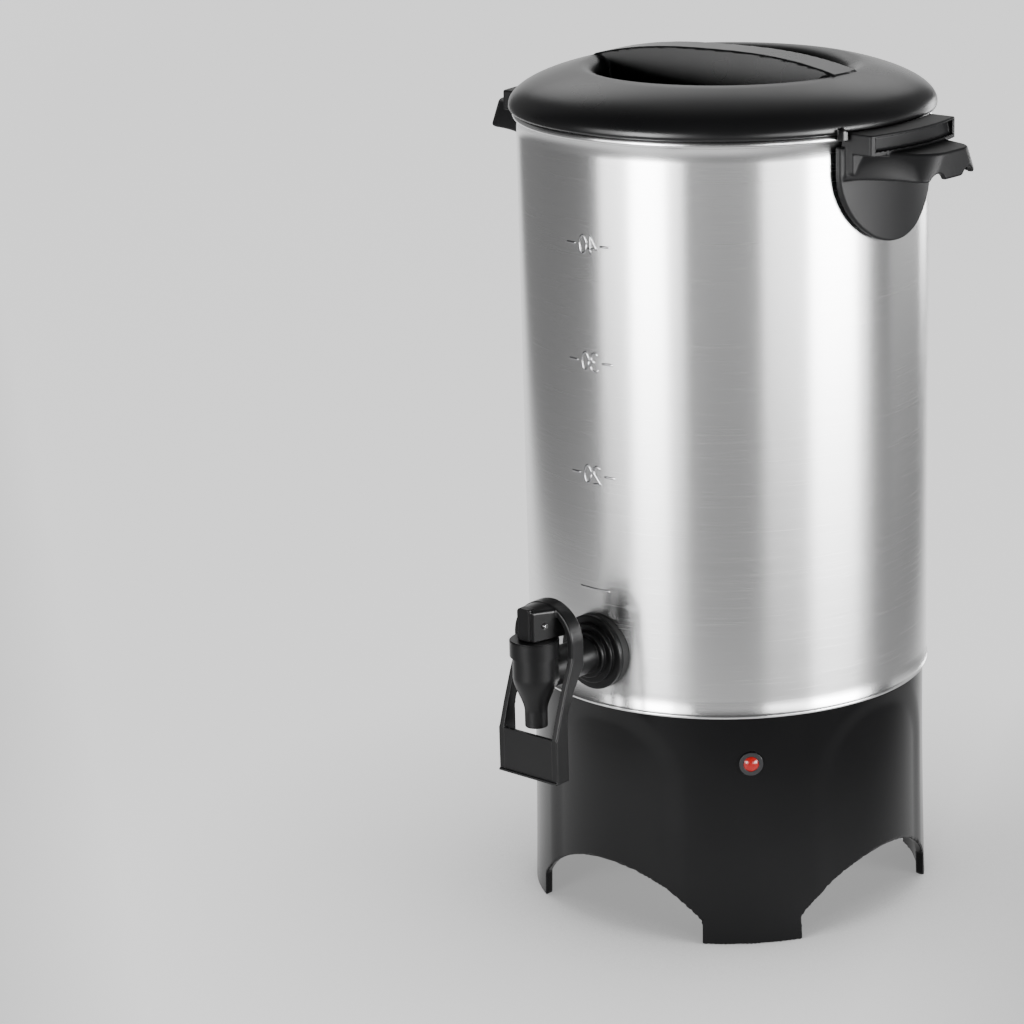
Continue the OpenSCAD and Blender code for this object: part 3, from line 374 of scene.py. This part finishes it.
def lens_red():
    m, nt, b = shader("lens_red", (0.42, 0.012, 0.012), roughness=0.22, specular=0.35, coat=0.1)
    wave = noise(nt, 500.0, 2.0)
    nt.links.new(mixed(nt, wave, (0.22, 0.004, 0.004), (0.34, 0.01, 0.008)), b.inputs["Base Color"])
    b.inputs["Transmission Weight"].default_value = 0.25
    b.inputs["Emission Color"].default_value = (0.5, 0.008, 0.008, 1)
    b.inputs["Emission Strength"].default_value = 0.04
    bump(nt, b, wave, 0.2, 0.0001)
    return m


LENS = lens_red()


def lamp_glass():
    m, nt, b = shader("lamp_glass", (0.8, 0.45, 0.3), roughness=0.1)
    nt.links.new(mixed(nt, noise(nt, 400.0), (0.75, 0.4, 0.25), (0.9, 0.6, 0.4)), b.inputs["Base Color"])
    b.inputs["Transmission Weight"].default_value = 0.5
    return m


LAMP = lamp_glass()

FINISH = {
    "base_cover": COVER_BLACK, "cover_screws": PLATED, "light_bezel": TRIM_BLACK, "indicator_lens": LENS,
    "indicator_lamp": LAMP, "inlet_housing": TRIM_BLACK, "inlet_pins": BRASS, "tank": STEEL,
    "tank_studs": PLATED, "tank_nuts": PLATED, "heat_plate": ALU_FLAT, "heating_element": SHEATH,
    "thermostat": CERAMIC, "thermostat_strap": ALU_FLAT, "strap_studs": PLATED, "strap_nuts": PLATED,
    "thermal_fuse": CERAMIC, "wiring": WIRE, "right_handle": HANDLE_BLACK, "left_handle": HANDLE_BLACK,
    "handle_screws": PLATED, "tap_gasket": RUBBER_BLACK, "tap_body": TAP_BLACK,
    "tap_inner_gasket": SILICONE, "tap_nut": TRIM_BLACK, "tap_bonnet": TAP_BLACK, "valve_stem": ACETAL,
    "seat_cup": SILICONE, "valve_spring": SPRING, "lever_pin": PIN_STEEL, "tap_lever": TAP_BLACK,
    "pump_tube": ALU_SPUN, "pump_foot": ALU_SPUN, "basket": ALU_SPUN, "basket_cover": ALU_SPUN,
    "lid": LID_BLACK, "base_housing": BASE_BLACK,
}
for name, o in nodes.items():
    o.data.materials.clear()
    o.data.materials.append(FINISH[name])


# ---------------------------------------------------------------- tank
def tank_profile():
    """Outside of the wall from the lower curl up, over the rim, and down the inside to the well."""
    r, w = TANK_R, 0.8
    p = arc(r - 0.1, 111.9, 0.9, 180, 405, 14)
    p += [(r, z) for z in np.linspace(113.2, 372.6, 40)]
    p += arc(r + 0.2, 374.4, 1.6, -75, 180, 22)
    p += [(r - w, z) for z in np.linspace(372.8, 121.5, 40)]
    p += arc(r - w - 2.2, 121.2, 2.2, 0, -90, 8)
    p += [(x, 119.0) for x in np.linspace(90, 31, 12)]
    p += arc(30, 117.5, 1.5, 90, 180, 6)
    p += arc(26.5, 112.0, 2.0, 0, -90, 6)
    p += [(0.01, 110.0), (0.01, 109.2)]
    p += arc(26.5, 111.2, 2.0, -90, 0, 6)
    p += arc(30.8, 116.4, 1.8, 180, 90, 6)
    p += [(x, 118.2) for x in np.linspace(33, 91, 12)]
    p += arc(r - w - 1.2, 119.2, 1.0, -90, 0, 4)
    p += [(r - w, 114.0)]
    return p


v, q = lathe(tank_profile(), 360)
piece("tank_skin", v, q, STEEL, "urn", slot="steel", replaces=["tank"])


# ---------------------------------------------------------------- base
BASE_WALL = 4.0
BASE_R, BASE_FLARE = 93.3, 1.7  # at the top, and how much wider the feet stand
LIP_TOP = 118.1  # the base's lip, inside the tank's lower edge
ARCH_R, ARCH_DROP, ARCH_HALF_W = 62.0, 28.0, 47.9
LIGHT_Z, LIGHT_HOLE_R = 88.7, 4.5
INLET_Z, INLET_HALF_W, INLET_HALF_H = 66.0, 20.15, 12.15


def base_f(x, y, z):
    r = np.hypot(x, y)
    skin = BASE_R + BASE_FLARE * ((BASE_H - np.minimum(z, BASE_H)) / BASE_H) ** 2
    t, far = np.minimum(np.abs(x), np.abs(y)), np.maximum(np.abs(x), np.abs(y))
    # panels between the legs, one millimetre back, with a very soft step
    panel = box2(t, z - 38.0, 36.5, 70.0, 33.0)
    step = np.clip(0.5 - panel / 12.0, 0, 1)
    out = r - skin + smooth(step)
    out = r_max(out, z - LIP_TOP, 0.3)
    room = np.minimum(np.maximum(r - (skin - BASE_WALL), z - 114.9), r - 78.0)
    arch = np.maximum(np.hypot(t, z + ARCH_DROP) - ARCH_R, t - ARCH_HALF_W)
    arch = np.where(far > 40, arch, 1e3)
    s = np.maximum(out, -room)
    s = np.maximum(s, -z)
    s = r_max(s, -arch, 0.7)
    u, w = (x - y) * 0.70711, (x + y) * 0.70711
    s = np.maximum(s, LIGHT_HOLE_R - np.where(u > 0, np.hypot(w, z - LIGHT_Z), 1e3))
    inlet = np.where(y > 0, box2(x, z - INLET_Z, INLET_HALF_W, INLET_HALF_H), 1e3)
    return np.maximum(s, -inlet)


sdf_piece("base_shell", base_f, (-96, -96, 0), (96, 96, 118.2), 1.3, BASE_BLACK, "urn",
          slot="base_plastic", replaces=["base_housing"])


# ---------------------------------------------------------------- lid
def dome(r, z, a, b):
    zz = np.maximum(z - LID_EDGE, 0)
    k = np.sqrt((r / a) ** 2 + (zz / b) ** 2)
    g = np.sqrt((r / a ** 2) ** 2 + (zz / b ** 2) ** 2)
    return np.where(k > 0.3, k * (k - 1) / np.maximum(g, 1e-6), -10.0)


# the wells: where their wall meets the dome, their floor, and the top of the bar between them
RING_R, RING_Z, FLOOR_Z, CREST_Z = 66.5, 395.76, 382.1, 403.3
BAR_TURN = (0.9954, 0.0958)  # cosine and sine of 5.5 degrees


def well_wall(r, z):
    """Distance into the wells' outer wall: steep below, rounded over to the dome above."""
    u, v = np.maximum(RING_R - r, 0) / 9.5, (z - RING_Z + 7.13) / 7.13
    k, g = np.hypot(u, v), np.maximum(np.hypot(u / 9.5, v / 7.13), 1e-6)
    low = (r - 57.0 - 0.23 * (z - RING_Z + 7.13)) * 0.975
    return np.where(v > 0, -k * (k - 1) / g, low)


def lid_f(x, y, z):
    r = np.hypot(x, y)
    # along and across the grip bar, which is turned a little from the line of the handles
    bx, by = x * BAR_TURN[0] + y * BAR_TURN[1], np.abs(y * BAR_TURN[0] - x * BAR_TURN[1])
    out = r_max(dome(r, z, LID_R, LID_RISE), LID_SEAT - z, 1.8)
    crest = z - CREST_Z + 7.0 * np.minimum(np.abs(bx) / RING_R, 1) ** 2.6
    crest = np.maximum(np.maximum(crest, r - 66.3), np.maximum(by - 12.0, 390.0 - z))
    out = np.minimum(out, crest)
    skirt = np.maximum(np.abs(r - 92.2) - 1.2, slab(z, 368.3, LID_SEAT + 1))
    room = np.maximum(dome(r, z, LID_R - 2.4, LID_RISE - 2.4), r - 91.0)
    wall = well_wall(r, z)
    pan = np.maximum(wall - 2.4, 379.7 - z)
    s = np.maximum(r_min(out, skirt, 0.3), -np.maximum(room, -pan))
    side = 8.5 + 2.5 * (CREST_Z - z) / 21.2
    well = r_max(wall, side - by, 1.2)
    well = r_max(well, FLOOR_Z - z, 3.0)
    s = r_max(s, -well, 0.7)
    under = np.maximum(np.abs(bx) - 46.5, np.maximum(by - side + 2.4, z - 394.8))
    s = np.maximum(s, -under)
    for a in (70.2, 250.2):
        c, d = math.cos(math.radians(a)), math.sin(math.radians(a))
        o, t = d * x - c * y, c * x + d * y
        lug = np.maximum(box2(o - 100.3, z - 376.6, 2.7, 2.6, 0.5), np.abs(t) - 1.3)
        s = np.minimum(s, lug)
    return s


sdf_piece("lid_shell", lid_f, (-103, -103, 368), (103, 103, 403.4), 1.0, LID_BLACK, "lid_body",
          slot="black_plastic", replaces=["lid"])


# ---------------------------------------------------------------- handles
SHIELD_HALF_W, SHIELD_MID = 34.7, 360.0  # half width of the plate, height where its round lower edge begins
GRIP_OUT, GRIP_TOP, GRIP_UNDER = 130.2, 369.0, 356.6
SCALLOP_AT, SCALLOP_Z, SCALLOP_R = 5.0, 354.8, 5.2  # degrees to each side, height and radius


def handle_f(x, y, z):
    """The right handle, on +X; hollow is the room under its grip."""
    r = np.hypot(x, y)
    ay = np.abs(y)
    shield = np.where(z < SHIELD_MID, np.hypot(y, z - SHIELD_MID), ay) - SHIELD_HALF_W
    shield = r_max(shield, z - 371.0, 0.6)
    shield = r_max(shield, r - 99.5, 1.0)
    guard = np.maximum(box2(y, z - 368.2, 31.7, 9.2, 1.0), -(x - 80))
    guard = r_max(guard, np.maximum(r - 112.5, np.minimum(r - 103.0, 368.0 - z)), 0.8)
    # the guard's outer face is hollowed between narrow lips
    cove = r_max(np.maximum(slab(z, 370.0, 376.2), ay - 28.9), 110.4 - r - 0.22 * (z - 370), 1.0)
    guard = np.maximum(guard, -cove)
    # the grip's side: hollow in plan below, leaning in towards the top
    low = (ay - 21.4 - 10.6 * np.clip((125.0 - x) / 28.0, 0, 1.1) ** 2) * 0.93
    lean = ((ay - 32.0) * 0.947 + (x - 97.0) * 0.3213 + 0.52 * (z - 357.0) - 0.2) * 0.887
    side = r_max(low, lean, 2.0)
    grip = r_max(side, r - GRIP_OUT, 6.5)
    grip = r_max(grip, z - GRIP_TOP, 1.2)
    grip = r_max(grip, GRIP_UNDER - z, 1.4)
    grip = np.maximum(grip, 94 - x)
    s = r_min(shield, guard, 0.8)
    s = r_min(s, grip, 1.0)
    hollow = r_max(side + 3.0, r - (GRIP_OUT - 3.0), 4.0)
    hollow = np.maximum(np.maximum(hollow, 108.5 - r), z - (GRIP_TOP - 3.0))
    s = r_max(s, -hollow, 0.5)
    ang = np.degrees(np.arctan2(y, np.maximum(x, 1)))
    for a in (-SCALLOP_AT, SCALLOP_AT):
        scallop = np.hypot(r * np.radians(ang - a), z - SCALLOP_Z) - SCALLOP_R
        s = r_max(s, -np.maximum(scallop, 110.5 - r), 0.8)
    s = np.maximum(s, -np.minimum(np.maximum(r - 95.15, z - 371.8), np.maximum(r - 97.1, z - 376.5)))
    return np.maximum(s, -np.maximum(r - 99.3, 374.4 - z))


hv, hq, hn = net(handle_f, (90, -35, 325), (131, 35, 378), 0.6)
HALF_TURN = np.array([-1, -1, 1])
for side_name, turned in (("right", np.ones(3)), ("left", HALF_TURN)):
    piece(side_name + "_handle_moulding", hv * turned, hq, HANDLE_BLACK, "urn", normals=hn * turned,
          slot="black_plastic", replaces=[side_name + "_handle"])

# ---------------------------------------------------------------- tap
VALVE_BORE_R = 3.65


def tap_body_f(x, y, z):
    """Spout, shank and stepped flange; o is the distance outwards, q the distance from the shank's axis."""
    r = np.hypot(x, y - SPOUT_Y)
    o = -y
    q = np.hypot(x, z - TAP_Z)
    t = np.clip((z - 120.5) / 17.0, 0, 1)
    tulip = 5.15 + 4.9 * smooth(t)
    body = r_max(r - tulip, 113.5 - z, 0.4)
    body = np.maximum(body, z - 146.7)
    body = np.minimum(body, np.maximum(r - 9.4, slab(z, 140.0, 152.0)))
    shank = np.maximum(q - 8.5, slab(o, 82.0, 138.0))
    s = r_min(body, shank, 1.2)
    flange = r_max(q - 17.5, slab(o, 97.5, 100.0), 0.5)
    flange = np.minimum(flange, r_max(q - 14.0, slab(o, 97.5, 102.0), 0.5))
    flange = np.minimum(flange, r_max(q - 10.9, slab(o, 97.5, 104.4), 0.5))
    s = r_min(s, flange, 0.3)
    s = np.maximum(s, VALVE_BORE_R - r)
    chamber = np.maximum(r - np.clip(VALVE_BORE_R + (z - 131.0) * 0.46, VALVE_BORE_R, 6.4), 131.0 - z)
    s = np.maximum(s, -chamber)
    return np.maximum(s, -np.maximum(q - 5.0, slab(o, 78.0, 138.0)))


sdf_piece("tap_moulding", tap_body_f, (-18, -149, 113), (18, -81, 156), 0.5, TAP_BLACK, "urn",
          slot="tap_plastic", replaces=["tap_body"])

LEVER_LOW, PLATE_TOP = 90.3, 111.2
# outline of the loop seen from its side: distance in front of the spout's axis, height
LOOP_SIDE = [(-13.6, 172.0), (-13.6, 142.0), (-10.4, 137.6), (-6.8, 131.4), (-2.9, 124.0), (-1.8, 119.0),
             (-1.8, LEVER_LOW), (6.2, LEVER_LOW), (6.2, PLATE_TOP), (2.6, 123.0), (-1.9, 136.0),
             (-5.5, 145.0), (-5.9, 147.0), (-5.9, 172.0)]
# outline of the head seen from above: sideways, in front of the spout's axis
HEAD = [(-5, 5.6), (5, 5.6), (9.5, -13.1), (-9.5, -13.1)]


def lever_f(x, y, z):
    """The looped lever; o is the distance in front of the spout's axis."""
    o = SPOUT_Y - y
    side = poly2(o, z, LOOP_SIDE)
    front = np.where(z > 153.0, np.hypot(x, z - 153.0), np.abs(x))
    loop = np.maximum(r_max(front - 17.5, side, 0.7), 14.5 - front)
    loop = r_max(loop, LEVER_LOW - z, 0.3)
    head = r_max(poly2(x, o, HEAD), front - 17.1, 1.2)
    head = np.maximum(head, 155.3 - z)
    nose = np.maximum(box2(x, z - 162.8, 3.3, 7.5, 0.6), slab(o, 2.8, 6.8))
    s = r_min(loop, head, 0.8)
    s = r_min(s, nose, 0.3)
    plate = np.maximum(slab(o, 4.0, 6.2), np.maximum(np.abs(x) - 17.4, slab(z, LEVER_LOW, PLATE_TOP)))
    lip = r_max(np.maximum(slab(o, 4.0, 7.1), np.abs(x) - 17.4), slab(z, LEVER_LOW, 91.6), 0.4)
    s = r_min(s, plate, 0.4)
    s = np.minimum(s, lip)
    s = np.maximum(s, 1.15 - np.hypot(o, z - 162.0))
    slot_box = np.maximum(np.maximum(np.abs(x) - 2.9, np.abs(o) - 4.95), z - 167.0)
    return np.maximum(s, -np.where(z > 150, slot_box, 1e3))


sdf_piece("lever_moulding", lever_f, (-18, -146, 90), (18, -124, 171), 0.45, TAP_BLACK, "lever",
          slot="tap_plastic", replaces=["tap_lever"])


# the spring rides the stem
wound = nodes["valve_spring"].data
points = [tuple(p.co * 1000) for p in wound.vertices]
coil = piece("spring_coil", points, [f.vertices for f in wound.polygons], SPRING, "stem",
             slot="plated", replaces=["valve_spring"])
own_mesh(coil)

# ---------------------------------------------------------------- marks pressed into the tank
def stroke(points, width=1.25, height=0.5):
    """A raised line on the tank's side: points are (distance round the tank from the tap's axis, height)."""
    pts = np.array(points, float)
    v, faces = [], []
    n = len(pts)
    for i in range(n):
        d = pts[min(i + 1, n - 1)] - pts[max(i - 1, 0)]
        d /= np.linalg.norm(d)
        side = np.array([-d[1], d[0]])
        for k in range(7):
            a = math.pi * k / 6
            s, up = -math.cos(a) * width / 2, math.sin(a) * height - 0.12
            p = pts[i] + side * s
            if i in (0, n - 1):
                up = up * 0.5 - 0.06
            phi = p[0] / TANK_R
            v.append(((TANK_R + up) * math.sin(phi), -(TANK_R + up) * math.cos(phi), p[1]))
    for i in range(n - 1):
        for k in range(6):
            faces.append((i * 7 + k, (i + 1) * 7 + k, (i + 1) * 7 + k + 1, i * 7 + k + 1))
    return v, faces


def ellipse(cx, cz, a, b, start=0, end=360, n=22):
    return [(cx + a * math.cos(math.radians(start + (end - start) * i / n)),
             cz + b * math.sin(math.radians(start + (end - start) * i / n))) for i in range(n + 1)]


def digit(c, u, z):
    """Strokes of a digit about its middle, seen in a mirror."""
    if c == "0":
        return [ellipse(u, z, 2.0, 4.0)]
    if c == "4":
        return [[(u - 1.2, z - 4.2), (u - 1.2, z + 4.2), (u + 2.4, z - 1.6), (u - 2.6, z - 1.6)]]
    if c == "3":
        return [[(2 * u - p[0], p[1]) for p in ellipse(u, z + 2.1, 2.1, 2.0, 150, -90, 14)],
                [(2 * u - p[0], p[1]) for p in ellipse(u, z - 2.1, 2.3, 2.2, 90, -150, 14)]]
    if c == "2":
        top = [(2 * u - p[0], p[1]) for p in ellipse(u, z + 1.9, 2.1, 2.2, 160, -40, 12)]
        return [top + [(u + 2.2, z - 4.1), (u - 2.4, z - 4.1)]]
    return []


MARKS_AT = -1.0
marks = []
for text, z in (("40", 326.7), ("30", 273.5), ("20", 221.0)):
    a, b = text
    for s in digit(a, MARKS_AT + 2.8, z) + digit(b, MARKS_AT - 2.8, z):
        marks.append(s)
    for side in (-1, 1):
        marks.append([(MARKS_AT + side * 7.0, z), (MARKS_AT + side * 13.0, z)])
marks.append([(MARKS_AT - 9, 167.0), (MARKS_AT + 9, 167.0)])
v, q = [], []
for s in marks:
    pts = []
    for a, b in zip(s[:-1], s[1:]):
        k = max(1, int(math.hypot(b[0] - a[0], b[1] - a[1]) / 0.8))
        pts += [(a[0] + (b[0] - a[0]) * i / k, a[1] + (b[1] - a[1]) * i / k) for i in range(k)]
    pts.append(s[-1])
    sv, sq = stroke(pts)
    q += [tuple(i + len(v) for i in f) for f in sq]
    v += sv
# the raised strokes wear the darker steel: painted shade
piece("gauge_marks", v, q, SHADED_MARK_STEEL, "urn", slot="steel")

# ---------------------------------------------------------------- floor, light and camera
FLOOR_DIM, FLOOR_BRIGHT = 0.10, 1.25  # painted light: the floor's glow beside and in front of the object, and behind it
AO_SHARE, AO_OPEN = 0.25, 0.4  # painted contact shadow: the share of the glow left where the floor is open by AO_OPEN or less


def stage_mesh():
    """A floor that turns up into a wall far behind."""
    pts = [(-6.0, 0.0), (3.0, 0.0)] + [(3.0 + 2.0 * math.sin(a), 2.0 - 2.0 * math.cos(a))
                                     for a in np.linspace(0.1, math.pi / 2, 12)] + [(5.0, 9.0)]
    a = CAMERA_ROUND
    back = np.array([-math.sin(a), math.cos(a), 0])
    side = np.array([math.cos(a), math.sin(a), 0])
    v, q = [], []
    for d, z in pts:
        for s in (-8, 8):
            v.append(tuple(back * d + side * s + np.array([0, 0, z])))
    for i in range(len(pts) - 1):
        q.append((2 * i, 2 * i + 1, 2 * i + 3, 2 * i + 2))
    mesh = bpy.data.meshes.new("sweep")
    mesh.from_pydata(v, [], q)
    mesh.polygons.foreach_set("use_smooth", [True] * len(mesh.polygons))
    o = bpy.data.objects.new("sweep", mesh)
    bpy.context.collection.objects.link(o)
    m, nt, b = shader("paper", (0.14, 0.14, 0.14), roughness=0.9, specular=0.05)
    # painted light, with no lamp below the floor: the floor glows along a bright path behind the object that
    # widens to the wall, dim in front and at both sides, and a little brighter again far out
    co = node(nt, "ShaderNodeTexCoord")

    def along(direction):
        dot = node(nt, "ShaderNodeVectorMath", operation="DOT_PRODUCT")
        dot.inputs[1].default_value = tuple(direction)
        nt.links.new(co.outputs["Object"], dot.inputs[0])
        return dot.outputs["Value"]

    def maths(kind, first, second=None):
        n = node(nt, "ShaderNodeMath", operation=kind)
        nt.links.new(first, n.inputs[0])
        if isinstance(second, float):
            n.inputs[1].default_value = second
        elif second is not None:
            nt.links.new(second, n.inputs[1])
        return n.outputs[0]

    depth, across, height = along(back), along(side), along((0, 0, 1))
    edge = maths("SUBTRACT", maths("ABSOLUTE", maths("ADD", across, 0.1)), maths("MULTIPLY", depth, 0.25))
    bright = maths("MULTIPLY", ramp(nt, edge, 1.0, 0.0, 0.2, 0.43), ramp(nt, depth, 0.0, 1.0, -0.45, -0.18))
    bright = maths("MULTIPLY", bright, ramp(nt, height, 1.0, 0.25, 0.3, 2.2))
    b.inputs["Emission Color"].default_value = (1, 1, 1, 1)
    # painted contact shadow: ambient occlusion darkens the floor's glow next to the object
    shade = node(nt, "ShaderNodeAmbientOcclusion", samples=8)
    shade.inputs["Distance"].default_value = 0.22
    painted_contact_shadow = ramp(nt, shade.outputs["AO"], AO_SHARE, 1.0, AO_OPEN, 1.0)
    level = maths("MULTIPLY", ramp(nt, bright, FLOOR_DIM, FLOOR_BRIGHT, 0.0, 1.0), painted_contact_shadow)
    level = maths("ADD", level, ramp(nt, maths("ABSOLUTE", across), 0.0, 0.08, 0.75, 1.3))
    nt.links.new(level, b.inputs["Emission Strength"])
    mesh.materials.append(m)


stage_mesh()


def studio():
    """A dim room in front of the object, brighter overhead and behind it."""
    world = bpy.data.worlds.new("studio")
    world.use_nodes = True
    nt = world.node_tree
    co = node(nt, "ShaderNodeTexCoord")
    a = CAMERA_ROUND
    dot = node(nt, "ShaderNodeVectorMath", operation="DOT_PRODUCT")
    dot.inputs[1].default_value = (-math.sin(a) * 0.9, math.cos(a) * 0.9, 0.44)
    nt.links.new(co.outputs["Generated"], dot.inputs[0])
    light = ramp(nt, dot.outputs["Value"], 0.085, 0.45, 0.65, 1.0)
    back = nt.nodes["Background"]
    back.inputs["Color"].default_value = (1, 1, 1, 1)
    nt.links.new(light, back.inputs["Strength"])
    bpy.context.scene.world = world


studio()


def softbox(name, bearing, height, distance, width, tall, power, aim=(0, 0, 0.2)):
    """An area light at a bearing from the camera's direction, positive to the right of the picture."""
    a = CAMERA_ROUND + math.radians(bearing)
    lamp = bpy.data.lights.new(name, "AREA")
    lamp.shape = "RECTANGLE"
    lamp.size, lamp.size_y = width, tall
    lamp.energy = power
    o = bpy.data.objects.new(name, lamp)
    o.location = (math.sin(a) * distance, -math.cos(a) * distance, height)
    o.rotation_euler = (Vector(aim) - o.location).to_track_quat("-Z", "Y").to_euler()
    bpy.context.collection.objects.link(o)
    return o


softbox("left_box", -46, 0.34, 1.5, 1.35, 0.66, 16)
softbox("left_core", -41, 0.3, 1.45, 0.5, 0.58, 20)
softbox("right_box", 52, 0.26, 1.5, 1.84, 0.5, 20)
softbox("right_core", 61, 0.26, 1.45, 0.74, 0.5, 30)
softbox("right_fill", 120, 0.3, 1.6, 1.1, 0.6, 1.6)
softbox("front_box", 4, 0.2, 1.5, 1.1, 0.4, 0.8)
softbox("rear_right", 145, 0.25, 1.6, 0.4, 0.5, 4)
softbox("top_box", 180, 1.5, 1.8, 1.8, 0.9, 6, aim=(0, 0, 0.35))

cam = bpy.data.cameras.new("photo")
cam.sensor_width = 36.0
cam.lens = 117.085
cam.shift_x = -0.210
cam.clip_start, cam.clip_end = 0.05, 60
cam.dof.use_dof = False
cam_o = bpy.data.objects.new("photo", cam)
cam_o.location = (CAMERA_OUT * math.sin(CAMERA_ROUND), -CAMERA_OUT * math.cos(CAMERA_ROUND), CAMERA_UP)
view = Vector((-math.sin(CAMERA_ROUND) * math.cos(CAMERA_DOWN),
               math.cos(CAMERA_ROUND) * math.cos(CAMERA_DOWN), -math.sin(CAMERA_DOWN)))
cam_o.rotation_mode = "QUATERNION"
cam_o.rotation_quaternion = view.to_track_quat("-Z", "Y") @ Quaternion((0, 0, 1), CAMERA_ROLL)
bpy.context.collection.objects.link(cam_o)
bpy.context.scene.camera = cam_o
